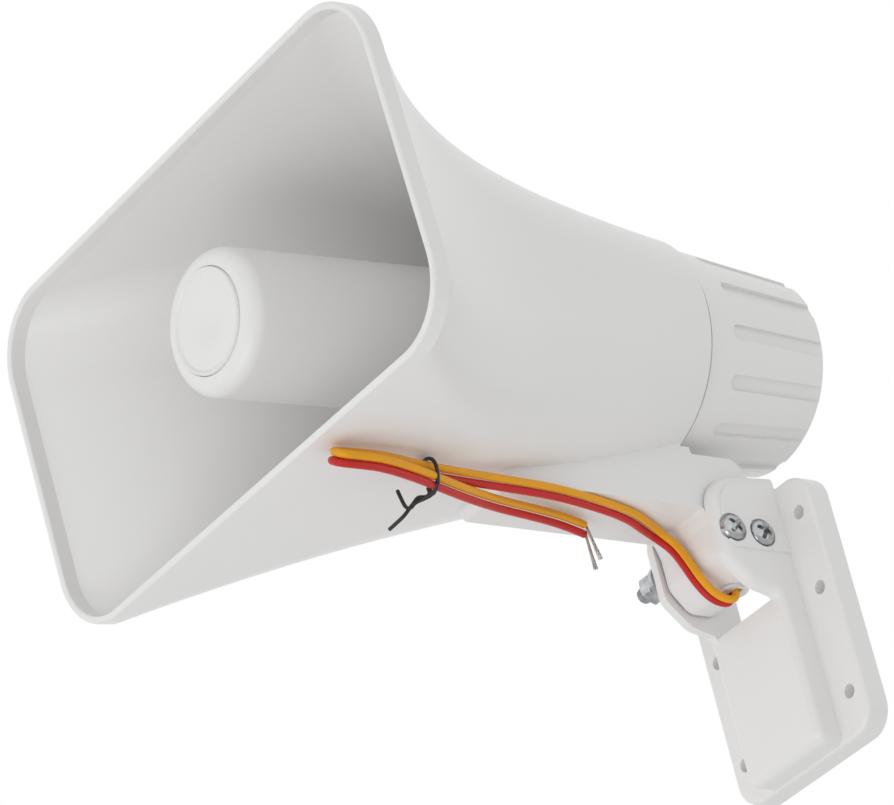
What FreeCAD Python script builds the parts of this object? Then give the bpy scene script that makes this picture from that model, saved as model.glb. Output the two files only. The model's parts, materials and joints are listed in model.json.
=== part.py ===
import FreeCAD, Part
import math
import os
from FreeCAD import Vector

# Alarm horn speaker: a square-mouthed re-entrant horn on a tilting wall bracket.
# Everything is drawn about the driver axis: the origin is the centre of the collar's
# back edge, the mouth faces -Y, the wall is at +Y and Z is up. The last step moves it
# so that the origin is the centre of the bracket's wall face.

# Bell, from the collar to the mouth
mouth_width = 220.0
mouth_height = 126.0
mouth_corner = 25.0
mouth_rim = 6.0
mouth_edge_round = 0.9
bell_length = 182.7
bell_droop = 3.4
bell_bow = 1.0
bell_wall = 2.6
flare_sideways = 3.1
flare_lead = 0.155
flare_upright = 1.5
corner_law = 1.28
bell_stations = 8
collar_radius = 41.6
collar_length = 24.0
collar_edge = 1.2
corner_flat = 1.6

# Driver chamber inside the collar and the neck that takes the rear cap
chamber_radius = 35.6
seat_radius = 31.0
seat_thickness = 3.0
neck_radius = 38.2
neck_length = 9.0
lead_hole_radius = 3.4
lead_hole_back = 4.5
seal_groove_radius = 36.8
seal_front = 1.8
seal_width = 2.2
seal_play = 0.1

# Rear cap
cap_length = 57.1
cap_front_radius = 40.6
cap_rear_radius = 35.4
cap_wall = 3.2
cap_end_wall = 3.0
cap_joint = 0.15
cap_edge_chamfer = 2.2
thread_clearance = 0.15
groove_count = 14
groove_width = 5.6
groove_depth = 1.8
groove_start = 11.0

# Reflector cup in the mouth, with its front insert
cup_radius = 24.6
cup_wall = 2.2
cup_length = 104.0
cup_front_round = 6.0
insert_radius = 17.8
insert_thickness = 3.0
insert_clearance = 0.15
dimple_radius = 9.0
dimple_depth = 1.6

# Throat tube that feeds the cup
throat_length = 116.0
throat_start_radius = 9.0
throat_end_radius = 12.0
throat_wall = 2.2
vane_count = 3
vane_thickness = 2.4
vane_length = 22.0
vane_clearance = 0.1
flange_thickness = 3.0
gasket_thickness = 1.0
radial_play = 0.3

# Driver stack, front to back
ring_thickness = 4.0
top_plate_thickness = 4.0
magnet_thickness = 10.0
back_plate_thickness = 4.0
magnet_radius = 28.0
magnet_bore = 16.0
back_plate_radius = 25.0
pole_radius = 11.4
coil_inner_radius = 12.0
coil_thickness = 0.5
coil_length = 7.0
gap_outer_radius = 13.1
dome_height = 2.6
dome_thickness = 0.35
surround_outer_radius = 21.0
surround_roll = 1.6
surround_clearance = 0.1
driver_screw_circle = 31.6
driver_screw_radius = 1.5
driver_screw_head = 2.7
driver_screw_head_height = 2.0
driver_screw_count = 4
driver_screw_bite = 2.4
wire_notch_half = 5.0
drive_wire_radius = 0.6
drive_wire_x = 3.0

# Siren circuit board inside the cap
board_radius = 29.0
board_thickness = 1.6
board_from_end = 18.4
post_radius = 3.2
post_circle = 23.0
post_count = 3
board_screw_radius = 1.25
board_screw_head = 2.5
board_screw_head_height = 1.6
board_screw_length = 8.0
chip_size = (9.6, 3.4, 6.4)
chip_place = (-6.0, 5.0)
capacitor_radius = 4.0
capacitor_length = 12.0
capacitor_place = (-13.0, -8.0)
transistor_body = (10.2, 4.5, 15.0)
transistor_place = (9.0, -10.0)
resistor_radius = 1.2
resistor_length = 6.4
resistor_count = 3
resistor_pitch = 4.2
resistor_place = (5.0, 6.0)
lead_wire_radius = 0.35

# Foot under the bell: a keel that ends in a hollow knuckle
keel_half_width = 14.0
keel_bottom = 65.7
keel_front = 78.0
keel_front_slope = 7.0
keel_wall = 2.6
knuckle_wall = 3.6
knuckle_face = 0.4
knuckle_bottom = 91.6
knuckle_back = 22.0
knuckle_top = 45.0
wire_exit_radius = 4.2
wire_exit_x = 5.0
wire_exit_y = 11.2
grommet_flange = 1.2
grommet_bore = (6.6, 3.3)

# Wall bracket
wall_gap = 37.0
flange_depth = 9.0
flange_half_width = 35.2
flange_top = 58.3
flange_bottom = 155.4
flange_corner = 10.0
flange_edge_round = 1.5
base_wall = 2.8
box_front = 17.9
box_front_top = 99.5
box_bottom = 154.6
box_corner = 4.0
side_half = 19.5
side_thickness = 4.7
ear_edge_round = 2.6
pad_rise = 0.8
pad_bottom = 83.4
counterbore_depth = 1.6
counterbore_radius = 7.0
head_pocket_radius = 5.4
wall_hole_radius = 2.5
wall_hole_x = 28.4
wall_hole_rows = (72.2, 100.9, 140.0)
wall_boss_radius = 5.5

# Pivot and clamp bolts, M6
pivot_y = 4.2
pivot_z = -76.2
clamp_spacing = 12.7
clamp_angle = -3.5
bolt_radius = 3.0
bolt_length = 50.0
bolt_head_radius = 4.8
bolt_head_height = 3.6
recess_width = 1.5
recess_length = 6.0
recess_depth = 2.2
pivot_clearance = 0.06
ear_hole_clearance = 0.15
slot_clearance = 0.35
tilt_up = 10.0
tilt_down = 35.0
boss_wall = 3.0
boss_gap = 5.0
washer_radius = 6.1
washer_thickness = 1.2
spring_washer_radius = 5.6
spring_washer_thickness = 1.6
spring_washer_gap = 1.2
nut_across_flats = 10.0
nut_height = 5.0

# Twin lead and its tie
core_radius = 1.35
core_offset = 1.45
bare_radius = 0.55
bare_length = 13.0
tie_half_width = 4.1
tie_half_height = 5.25
tie_thickness = 0.8
tie_width = 3.2
tie_turn = 21.0
tie_place = (25.2, -126.0, -74.75)

# Places that follow from the sizes above
collar_front = -collar_length
seat_back = collar_front + seat_thickness + 1.0
gasket_back = seat_back + gasket_thickness
throat_flange_back = gasket_back + flange_thickness
ring_back = throat_flange_back + ring_thickness
top_plate_back = ring_back + top_plate_thickness
magnet_back = top_plate_back + magnet_thickness
back_plate_back = magnet_back + back_plate_thickness
stack_radius = chamber_radius - radial_play
ear_inner = side_half - side_thickness
pad_face = side_half + pad_rise
bolt_seat = pad_face - counterbore_depth
clamp_y = pivot_y + clamp_spacing * math.cos(math.radians(clamp_angle))
clamp_z = pivot_z + clamp_spacing * math.sin(math.radians(clamp_angle))
flange_front = wall_gap - flange_depth
cap_inner_end = cap_length - cap_end_wall
board_back = cap_inner_end - board_from_end
board_front = board_back - board_thickness
flange_middle = (flange_top + flange_bottom) / 2
TO_WALL = Vector(0, -wall_gap, flange_middle)
X_AXIS = Vector(1, 0, 0)
Y_AXIS = Vector(0, 1, 0)
Z_AXIS = Vector(0, 0, 1)


def save(name, shape):
    """Move a finished piece into the wall frame and write it."""
    piece = shape.copy()
    piece.translate(TO_WALL)
    piece.exportStep("parts/" + name + ".step")
    volume = sum(s.Volume for s in piece.Solids)
    print(name, "solids", len(piece.Solids), "valid", piece.isValid(), "mm3", round(volume, 1))


def fuse(shapes):
    """One solid from shapes that overlap or touch."""
    whole = shapes[0].multiFuse(shapes[1:]) if len(shapes) > 1 else shapes[0]
    return whole.removeSplitter()


def block(x0, x1, y0, y1, z0, z1):
    return Part.makeBox(x1 - x0, y1 - y0, z1 - z0, Vector(x0, y0, z0))


def rod_x(radius, x0, x1, y, z):
    return Part.makeCylinder(radius, x1 - x0, Vector(x0, y, z), X_AXIS)


def rod_y(radius, y0, y1, x=0.0, z=0.0):
    return Part.makeCylinder(radius, y1 - y0, Vector(x, y0, z), Y_AXIS)


def ring_y(outer, inner, y0, y1):
    return rod_y(outer, y0, y1).cut(rod_y(inner, y0 - 1, y1 + 1))


def turned_y(profile):
    """Solid of revolution about Y from (radius, y) points."""
    points = [Vector(r, y, 0) for r, y in profile]
    wire = Part.makePolygon(points + [points[0]])
    return Part.Face(wire).revolve(Vector(0, 0, 0), Y_AXIS, 360)


def turned_x(profile, y, z):
    """Solid of revolution about a line along X from (radius, x) points."""
    points = [Vector(x, r, 0) for r, x in profile]
    wire = Part.makePolygon(points + [points[0]])
    solid = Part.Face(wire).revolve(Vector(0, 0, 0), X_AXIS, 360)
    solid.translate(Vector(0, y, z))
    return solid


def rounded_outline(corners, to_vector):
    """Closed wire through (u, v, radius) corners, each rounded by an arc."""
    count = len(corners)
    starts, ends, middles = [], [], []
    for i in range(count):
        u, v, radius = corners[i]
        here = Vector(u, v, 0)
        back = Vector(corners[i - 1][0], corners[i - 1][1], 0) - here
        ahead = Vector(corners[(i + 1) % count][0], corners[(i + 1) % count][1], 0) - here
        back.normalize()
        ahead.normalize()
        half = back.getAngle(ahead) / 2
        reach = radius / math.tan(half)
        starts.append(here + back * reach)
        ends.append(here + ahead * reach)
        inward = back + ahead
        inward.normalize()
        middles.append(here + inward * (radius / math.sin(half) - radius))
    edges = []
    for i in range(count):
        if corners[i][2] > 0:
            arc = Part.Arc(*[to_vector(p.x, p.y) for p in (starts[i], middles[i], ends[i])])
            edges.append(arc.toShape())
        following = (i + 1) % count
        if (starts[following] - ends[i]).Length > 1e-6:
            first, last = to_vector(ends[i].x, ends[i].y), to_vector(starts[following].x, starts[following].y)
            edges.append(Part.LineSegment(first, last).toShape())
    return Part.Wire(edges)


def slab_x(corners, x0, x1):
    """Plate between x0 and x1 with a rounded outline given as (y, z, radius)."""
    wire = rounded_outline(corners, lambda u, v: Vector(x0, u, v))
    return Part.Face(wire).extrude(Vector(x1 - x0, 0, 0))


def slab_y(corners, y0, y1):
    """Plate between y0 and y1 with a rounded outline given as (x, z, radius)."""
    wire = rounded_outline(corners, lambda u, v: Vector(u, y0, v))
    return Part.Face(wire).extrude(Vector(0, y1 - y0, 0))


def rectangle(half_width, top, bottom, radius):
    return [(half_width, top, radius), (-half_width, top, radius),
            (-half_width, bottom, radius), (half_width, bottom, radius)]


def along_bell(shape):
    """Turn a shape drawn about Y so that it follows the drooping bell axis."""
    turned = shape.copy()
    turned.rotate(Vector(0, 0, 0), X_AXIS, bell_droop)
    return turned


def bell_section(share, inset, distance):
    """Rounded-rectangle wire across the bell, share 0 at the collar and 1 at the mouth."""
    spread = flare_lead * share + (1 - flare_lead) * share ** flare_sideways
    half_width = collar_radius + (mouth_width / 2 - collar_radius) * spread
    rise = flare_upright * share - (flare_upright - 1) * share ** 2
    half_height = collar_radius + (mouth_height / 2 - collar_radius) * rise
    corner = collar_radius - corner_flat + (mouth_corner - collar_radius + corner_flat) * share ** corner_law
    sag = bell_bow * 4 * share * (1 - share)
    corners = rectangle(half_width - inset, half_height - inset - sag, -half_height + inset - sag, corner - inset)
    return rounded_outline(corners, lambda u, v: Vector(u, -distance, v))


def bell_flare(inset):
    """Solid flare from the round collar to the start of the mouth's straight rim."""
    flare_length = bell_length - mouth_rim
    wires = [bell_section(0.0, inset, 0.0)]
    for i in range(1, bell_stations):
        share = i / (bell_stations - 1)
        wires.append(along_bell(bell_section(share, inset, share * flare_length)))
    return Part.makeLoft(wires, True, False)


def mouth_rim_band():
    """Short straight band at the mouth with rounded front edges."""
    depth = Vector(0, -mouth_rim, 0)
    start = bell_length - mouth_rim
    band = Part.Face(bell_section(1.0, 0.0, start)).extrude(depth)
    band = band.cut(Part.Face(bell_section(1.0, bell_wall, start - 1.0)).extrude(depth * 2))
    front_edges = [e for e in band.Edges if abs(e.BoundBox.YMax + bell_length) < 1e-6]
    return along_bell(band.makeFillet(mouth_edge_round, front_edges))


def keel_corners(inset):
    """Side outline of the keel and knuckle, (y, z, radius), shrunk by inset."""
    bottom = -(keel_bottom - inset)
    return [(-keel_front + inset, -(collar_radius - 6.0), 0.0),
            (-keel_front - keel_front_slope + inset, bottom, 3.0),
            (knuckle_face - 1.5 + inset, bottom, 2.0),
            (knuckle_face + inset, -(keel_bottom + 6.0), 4.0),
            (knuckle_face + inset, -(knuckle_bottom - 8.5), 6.0),
            (knuckle_face + 6.5, -(knuckle_bottom - inset), 6.0),
            (knuckle_back - inset, -(knuckle_bottom - inset), 7.0),
            (knuckle_back - inset, -(knuckle_top + inset), 6.0),
            (cap_joint + inset, -(knuckle_top + inset), 0.0),
            (-collar_edge, -(collar_radius - 6.0), 0.0)]


def arc_slot(half_width, x0, x1):
    """Curved slot about the pivot that lets the clamp bolt pass at every tilt."""
    low = math.radians(clamp_angle - tilt_down)
    high = math.radians(clamp_angle + tilt_up)
    middle = (low + high) / 2

    def at(radius, angle):
        return Vector(x0, pivot_y + radius * math.cos(angle), pivot_z + radius * math.sin(angle))

    inner, outer = clamp_spacing - half_width, clamp_spacing + half_width
    tip = half_width / clamp_spacing
    edges = [Part.Arc(at(inner, high), at(inner, middle), at(inner, low)).toShape(),
             Part.Arc(at(inner, low), at(clamp_spacing / math.cos(tip), low - tip), at(outer, low)).toShape(),
             Part.Arc(at(outer, low), at(outer, middle), at(outer, high)).toShape(),
             Part.Arc(at(outer, high), at(clamp_spacing / math.cos(tip), high + tip), at(inner, high)).toShape()]
    return Part.Face(Part.Wire(edges)).extrude(Vector(x1 - x0, 0, 0))


def horn_bell():
    """Bell, collar, neck, keel and knuckle, moulded as one hollow piece."""
    neck = rod_y(neck_radius, -collar_edge * 3, neck_length)
    keel = slab_x(keel_corners(0.0), -keel_half_width, keel_half_width)
    body = fuse([bell_flare(0.0), neck, keel])
    reach = collar_radius + 3.0
    body = body.cut(turned_y([(collar_radius - collar_edge, 0.0), (reach, 0.0),
                              (reach, collar_radius - collar_edge - reach)]))
    behind = block(-reach, reach, collar_front, 5.0, -reach, reach)
    body = body.cut(bell_flare(bell_wall).cut(behind))
    body = fuse([body, mouth_rim_band()])
    body = body.cut(rod_y(seat_radius, collar_front - 4.0, 0.0))
    body = body.cut(rod_y(chamber_radius, seat_back, neck_length + 1.0))
    cavity_side = keel_half_width - knuckle_wall
    cavity = slab_x(keel_cavity(), -cavity_side, cavity_side)
    for side in (-1, 1):
        low, high = sorted((side * boss_gap, side * keel_half_width))
        cavity = cavity.cut(rod_x(bolt_radius + boss_wall, low, high, pivot_y, pivot_z))
    body = body.cut(cavity)
    body = body.cut(ring_y(neck_radius + 1.0, seal_groove_radius, seal_front, seal_front + seal_width))
    span = keel_half_width + 1.0
    body = body.cut(rod_x(bolt_radius + pivot_clearance, -span, span, pivot_y, pivot_z))
    body = body.cut(arc_slot(bolt_radius + slot_clearance, -span, span))
    lead_hole = Part.makeCylinder(lead_hole_radius, knuckle_top - chamber_radius + 12.0,
                                  Vector(0, -lead_hole_back, -chamber_radius + 1.0), -Z_AXIS)
    exit_hole = Part.makeCylinder(wire_exit_radius, 16.0,
                                  Vector(wire_exit_x, wire_exit_y, -knuckle_bottom - 5.0), Z_AXIS)
    return body.cut(lead_hole).cut(exit_hole)


def keel_cavity():
    """Hollow inside the keel and knuckle, open to the lead hole and the exit hole."""
    floor = -(keel_bottom - keel_wall)
    roof = -(knuckle_top + 6.0)
    face = knuckle_face + knuckle_wall
    back = knuckle_back - knuckle_wall
    return [(-keel_front * 0.35, roof, 1.5),
            (-keel_front * 0.35, floor, 1.5),
            (face - 1.0, floor, 1.0),
            (face, -(keel_bottom + 4.0), 1.5),
            (face, -(knuckle_bottom - 10.0), 3.0),
            (knuckle_face + 8.0, -(knuckle_bottom - knuckle_wall), 3.0),
            (back, -(knuckle_bottom - knuckle_wall), 4.0),
            (back, roof, 2.0)]


def rear_cap():
    front_inner = neck_radius + thread_clearance
    profile = [(front_inner, cap_joint), (cap_front_radius, cap_joint),
               (cap_rear_radius, cap_length - cap_edge_chamfer),
               (cap_rear_radius - cap_edge_chamfer, cap_length), (0.0, cap_length),
               (0.0, cap_inner_end), (cap_rear_radius - cap_wall, cap_inner_end),
               (cap_inner_radius(neck_length + 1.5), neck_length + 1.5), (front_inner, neck_length + 0.5)]
    cap = turned_y(profile)
    posts = [rod_y(post_radius, board_back, cap_inner_end + 0.5, x, z) for x, z in post_places()]
    cap = fuse([cap] + posts)
    for x, z in post_places():
        cap = cap.cut(rod_y(board_screw_radius - 0.15, board_back - 0.5, board_back + board_screw_length, x, z))
    slope = math.degrees(math.atan((cap_front_radius - cap_rear_radius) / cap_length))
    for i in range(groove_count):
        cap = cap.cut(groove(360.0 * i / groove_count, slope))
    return cap


def cap_outer_radius(y):
    return cap_front_radius + (cap_rear_radius - cap_front_radius) * y / cap_length


def cap_inner_radius(y):
    return cap_outer_radius(y) - cap_wall


def groove(angle, slope):
    """Round-ended finger groove along the cap, open at the back edge."""
    start_radius = cap_outer_radius(groove_start)
    half = groove_width / 2
    corners = [(-half, groove_start, half - 0.1), (half, groove_start, half - 0.1),
               (half, cap_length + 6.0, 0.0), (-half, cap_length + 6.0, 0.0)]
    wire = rounded_outline(corners, lambda u, v: Vector(u, v, -start_radius + groove_depth))
    tool = Part.Face(wire).extrude(Vector(0, 0, -8.0))
    tool.rotate(Vector(0, groove_start, -start_radius), X_AXIS, slope)
    tool.rotate(Vector(0, 0, 0), Y_AXIS, angle)
    return tool


def post_places():
    angles = [math.radians(90 + 360.0 * i / post_count) for i in range(post_count)]
    return [(post_circle * math.cos(a), post_circle * math.sin(a)) for a in angles]


def reflector_cup():
    """Deep cup, closed at the mouth plane, that turns the sound back on itself."""
    front = -bell_length
    back = front + cup_length
    inner = cup_radius - cup_wall
    arc_steps = 6
    outer = []
    for i in range(arc_steps + 1):
        a = math.radians(90.0 * i / arc_steps)
        outer.append((cup_radius - cup_front_round + cup_front_round * math.sin(a),
                      front + cup_front_round - cup_front_round * math.cos(a)))
    seat = front + insert_thickness
    hole = insert_radius + insert_clearance
    ledge = hole - 2.5
    profile = [(ledge, seat), (hole, seat), (hole, front)] + outer
    profile += [(cup_radius, back), (inner, back), (inner, seat + cup_wall + 3.0),
                (inner - 3.0, seat + cup_wall), (ledge, seat + cup_wall)]
    return along_bell(turned_y(profile))


def cup_insert():
    """Disc pressed into the cup's front, with a shallow dimple."""
    front = -bell_length
    disc = rod_y(insert_radius, front, front + insert_thickness)
    disc = disc.makeChamfer(0.4, [e for e in disc.Edges if abs(e.BoundBox.YMax - front) < 1e-6])
    bowl_radius = (dimple_radius ** 2 + dimple_depth ** 2) / (2 * dimple_depth)
    bowl = Part.makeSphere(bowl_radius, Vector(0, front - bowl_radius + dimple_depth, 0))
    return along_bell(disc.cut(bowl))


def throat_horn():
    """Throat tube with its mounting flange and the vanes that hold the cup."""
    front_y = -throat_length
    root = gasket_back
    tube = turned_y([(throat_start_radius, 0.0), (throat_start_radius + throat_wall, 0.0),
                     (throat_end_radius + throat_wall, front_y), (throat_end_radius, front_y)])
    vane_reach = cup_radius - cup_wall - vane_clearance
    vanes = []
    for i in range(vane_count):
        vane = block(-vane_thickness / 2, vane_thickness / 2, front_y + 3.0, front_y + 3.0 + vane_length,
                     throat_end_radius + throat_wall / 2, vane_reach)
        vane.rotate(Vector(0, 0, 0), Y_AXIS, 360.0 * i / vane_count)
        vanes.append(vane)
    rounding = rod_y(vane_reach, front_y, 0.0)
    tube = along_bell(fuse([tube] + [v.common(rounding) for v in vanes]))
    tube = tube.cut(block(-60, 60, root + 0.5, 60, -60, 60))
    flange = rod_y(stack_radius, root, throat_flange_back)
    bore = along_bell(turned_y([(0.0, 20.0), (throat_start_radius, 20.0), (throat_start_radius, 0.0),
                                (throat_end_radius, front_y - 0.5), (0.0, front_y - 0.5)]))
    relief = coil_inner_radius + coil_thickness + 1.5
    chamber = turned_y([(0.0, throat_flange_back - 2.4), (throat_start_radius, throat_flange_back - 2.4),
                        (relief, throat_flange_back - 0.7), (relief, throat_flange_back + 0.5),
                        (0.0, throat_flange_back + 0.5)])
    body = fuse([tube, flange]).cut(bore).cut(chamber)
    for x, z in driver_screw_places():
        body = body.cut(rod_y(driver_screw_radius - 0.2, throat_flange_back - driver_screw_bite,
                              throat_flange_back + 1.0, x, z))
    return body


def driver_screw_places():
    angles = [math.radians(45 + 360.0 * i / driver_screw_count) for i in range(driver_screw_count)]
    return [(driver_screw_circle * math.cos(a), driver_screw_circle * math.sin(a)) for a in angles]


def drill_driver_screws(shape, y0, y1):
    for x, z in driver_screw_places():
        shape = shape.cut(rod_y(driver_screw_radius + 0.15, y0 - 1.0, y1 + 1.0, x, z))
    return shape


def driver_gasket():
    return ring_y(stack_radius, seat_radius + radial_play, seat_back, gasket_back)


def diaphragm_ring():
    """Plastic spacer ring with the recess that holds the surround's edge."""
    y0, y1 = throat_flange_back, ring_back
    step = y0 + dome_thickness
    ring = turned_y([(surround_outer_radius + 0.1, y0), (stack_radius, y0), (stack_radius, y1),
                     (surround_outer_radius - 3.0, y1), (surround_outer_radius - 3.0, step),
                     (surround_outer_radius + 0.1, step)])
    return drill_driver_screws(ring, y0, y1)


def surround():
    """Flexible half-roll ring between the diaphragm and its clamped edge."""
    y0 = throat_flange_back
    inner = coil_inner_radius + coil_thickness + surround_clearance
    clamp = surround_outer_radius - 3.0
    steps = 8
    middle, reach = (inner + 0.8 + clamp) / 2, (clamp - inner - 0.8) / 2
    upper, lower = [], []
    for i in range(steps + 1):
        a = math.pi * i / steps
        radius = middle - reach * math.cos(a)
        rise = surround_roll * math.sin(a)
        upper.append((radius, y0 + rise))
        lower.append((radius, y0 + rise + dome_thickness))
    profile = [(inner, y0)] + upper + [(surround_outer_radius, y0), (surround_outer_radius, y0 + dome_thickness)]
    profile += list(reversed(lower)) + [(inner, y0 + dome_thickness)]
    return turned_y(profile)


def diaphragm():
    """Thin dome, hollow side forward, that carries the coil on its edge."""
    y0 = throat_flange_back
    edge = coil_inner_radius + coil_thickness
    steps = 8
    outside, inside = [], []
    for i in range(steps + 1):
        radius = edge * (1 - i / steps)
        depth = dome_height * (1 - (radius / edge) ** 2)
        outside.append((radius, y0 + depth))
        inside.append((radius, y0 + depth + dome_thickness))
    profile = outside + list(reversed(inside))
    return turned_y(profile)


def voice_coil():
    outer = coil_inner_radius + coil_thickness
    y0 = throat_flange_back + dome_thickness + dome_height * (1 - (coil_inner_radius / outer) ** 2)
    return ring_y(outer, coil_inner_radius, y0, y0 + coil_length)


def top_plate():
    plate = ring_y(stack_radius, gap_outer_radius, ring_back, top_plate_back)
    notch = block(-wire_notch_half, wire_notch_half, ring_back - 1, top_plate_back + 1,
                  magnet_radius + 1.2, stack_radius + 1)
    return drill_driver_screws(plate.cut(notch), ring_back, top_plate_back)


def magnet():
    return ring_y(magnet_radius, magnet_bore, top_plate_back, magnet_back)


def back_plate():
    plate = rod_y(back_plate_radius, magnet_back, back_plate_back)
    pole = rod_y(pole_radius, ring_back, magnet_back + 0.5)
    return fuse([plate, pole])


def driver_screws():
    screws = []
    for x, z in driver_screw_places():
        head = rod_y(driver_screw_head, top_plate_back, top_plate_back + driver_screw_head_height, x, z)
        shank = rod_y(driver_screw_radius, throat_flange_back, top_plate_back + 0.5, x, z)
        tip = rod_y(driver_screw_radius - 0.2, throat_flange_back - driver_screw_bite + 0.1,
                    throat_flange_back + 0.5, x, z)
        screws.append(fuse([head, shank, tip]))
    return Part.makeCompound(screws)


def cap_seal():
    back = seal_front + seal_width - seal_play
    return ring_y(neck_radius + thread_clearance - seal_play, seal_groove_radius + seal_play,
                  seal_front + seal_play, back)


def drive_wires():
    """Two thin wires from the board to the coil's terminals in the diaphragm ring."""
    top = magnet_radius + 4.6
    wires = []
    for x in (-drive_wire_x, drive_wire_x):
        route = [(x, board_front - 0.2, board_radius - 5.0), (x, board_front - 9.0, board_radius - 4.0),
                 (x, magnet_back + 6.0, top - 1.0), (x, top_plate_back + 2.0, top), (x, ring_back, top)]
        wires.append(sweep(route, drive_wire_radius)[0])
    return Part.makeCompound(wires)


def circuit_board():
    board = rod_y(board_radius, board_front, board_back)
    for x, z in post_places():
        board = board.cut(rod_y(board_screw_radius + 0.2, board_front - 1, board_back + 1, x, z))
    return board


def board_screws():
    screws = []
    for x, z in post_places():
        head = rod_y(board_screw_head, board_front - board_screw_head_height, board_front, x, z)
        shank = rod_y(board_screw_radius - 0.15, board_front - 0.5, board_back + board_screw_length - 0.5, x, z)
        screws.append(fuse([head, shank]))
    return Part.makeCompound(screws)


def sound_chip():
    wide, tall, high = chip_size
    x, z = chip_place
    body = block(x - wide / 2, x + wide / 2, board_back + 0.5, board_back + 0.5 + tall, z - high / 2, z + high / 2)
    pins = []
    for i in range(4):
        px = x + (i - 1.5) * 2.54
        for side in (-1, 1):
            pz = z + side * (high / 2 + 0.4)
            pins.append(block(px - 0.25, px + 0.25, board_back, board_back + 2.2, pz - 0.45, pz + 0.45))
    return fuse([body] + pins)


def capacitor():
    x, z = capacitor_place
    can = rod_y(capacitor_radius, board_back, board_back + capacitor_length, x, z)
    return can.makeChamfer(0.5, [e for e in can.Edges if abs(e.BoundBox.YMin - board_back - capacitor_length) < 1e-6])


def power_transistor():
    wide, thick, high = transistor_body
    x, z = transistor_place
    body = block(x - wide / 2, x + wide / 2, board_back + 3.0, board_back + 3.0 + high - 6.0, z, z + thick)
    tab = block(x - wide / 2, x + wide / 2, board_back + 3.0, board_back + 3.0 + high, z - 1.3, z)
    tab = tab.cut(Part.makeCylinder(1.8, 4.0, Vector(x, board_back + high, z - 2.0), Z_AXIS))
    legs = [block(x + k * 2.54 - 0.4, x + k * 2.54 + 0.4, board_back, board_back + 3.5, z + 1.2, z + 1.8)
            for k in (-1, 0, 1)]
    return fuse([body, tab] + legs)


def resistors():
    x, z = resistor_place
    pieces = []
    for i in range(resistor_count):
        px = x + i * resistor_pitch
        body = Part.makeCylinder(resistor_radius, resistor_length,
                                 Vector(px, board_back + resistor_radius + 0.2, z), Z_AXIS)
        parts = [body]
        for end in (-0.7, resistor_length + 0.7):
            leg = rod_y(lead_wire_radius * 0.8, board_back, board_back + resistor_radius + 0.2, px, z + end)
            parts.append(leg)
        axle = Part.makeCylinder(lead_wire_radius, resistor_length + 2.4,
                                 Vector(px, board_back + resistor_radius + 0.2, z - 1.2), Z_AXIS)
        pieces.append(fuse(parts + [axle]))
    return Part.makeCompound(pieces)


def exit_grommet():
    """Rubber grommet in the knuckle's lower hole."""
    z = -knuckle_bottom
    width, height = grommet_bore
    lower = Part.makeCylinder(wire_exit_radius + 1.0, grommet_flange,
                              Vector(wire_exit_x, wire_exit_y, z - grommet_flange), Z_AXIS)
    neck = Part.makeCylinder(wire_exit_radius - 0.05, knuckle_wall - 1.0,
                             Vector(wire_exit_x, wire_exit_y, z), Z_AXIS)
    slot = block(wire_exit_x - width / 2, wire_exit_x + width / 2, wire_exit_y - height / 2,
                 wire_exit_y + height / 2, z - 5, z + 10)
    return fuse([lower, neck]).cut(slot)


def bracket_base():
    """Moulded base: flange shell, open-backed box and the two ears in one piece."""
    outer = slab_y(rectangle(flange_half_width, -flange_top, -flange_bottom, flange_corner), flange_front, wall_gap)
    front_edges = [e for e in outer.Edges if abs(e.BoundBox.YMax - flange_front) < 1e-6]
    outer = outer.makeFillet(flange_edge_round, front_edges)
    inner = slab_y(rectangle(flange_half_width - base_wall, -flange_top - base_wall,
                             -flange_bottom + base_wall, flange_corner - base_wall),
                   flange_front + base_wall, wall_gap + 1.0)
    flange = outer.cut(inner)
    bosses = [rod_y(wall_boss_radius, flange_front + 1.0, wall_gap, x, -z)
              for x in (-wall_hole_x, wall_hole_x) for z in wall_hole_rows]
    sides = []
    for side in (-1, 1):
        low, high = sorted((side * ear_inner, side * side_half))
        plate = slab_x(ear_corners(), low, high)
        ridge = [e for e in plate.Edges if abs(abs(e.BoundBox.XMin) - side_half) < 1e-6 and
                 abs(abs(e.BoundBox.XMax) - side_half) < 1e-6 and e.BoundBox.YMin < flange_front]
        plate = plate.makeFillet(ear_edge_round, ridge)
        sides.append(plate)
        low, high = sorted((side * (side_half - 0.5), side * pad_face))
        sides.append(slab_x(pad_corners(), low, high))
    front = block(-side_half + 2.0, side_half - 2.0, box_front, box_front + base_wall, -box_bottom + 6.0, -box_front_top)
    floor = slab_x([(box_front + 0.01, -box_bottom + 12.0, 0.0), (box_front + 0.01, -box_bottom, box_corner),
                    (flange_front + 1.0, -box_bottom, 0.0),
                    (flange_front + 1.0, -box_bottom + base_wall, 0.0),
                    (box_front + base_wall, -box_bottom + base_wall, box_corner - base_wall),
                    (box_front + base_wall, -box_bottom + 12.0, 0.0)], -ear_inner - 0.5, ear_inner + 0.5)
    body = fuse([flange] + bosses + sides + [front, floor])
    opening = block(-ear_inner, ear_inner, flange_front - 1.0, flange_front + base_wall + 1.0,
                    -box_bottom + base_wall, -(flange_top + base_wall + 1.5))
    body = body.cut(opening)
    for x in (-wall_hole_x, wall_hole_x):
        for z in wall_hole_rows:
            body = body.cut(rod_y(wall_hole_radius, flange_front - 1.0, wall_gap + 1.0, x, -z))
    span = pad_face + 2.0
    for y, z in ((pivot_y, pivot_z), (clamp_y, clamp_z)):
        body = body.cut(rod_x(bolt_radius + ear_hole_clearance, -span, span, y, z))
        body = body.cut(rod_x(head_pocket_radius, bolt_seat, span, y, z))
        body = body.cut(rod_x(counterbore_radius, -span, -bolt_seat, y, z))
    return body


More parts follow.
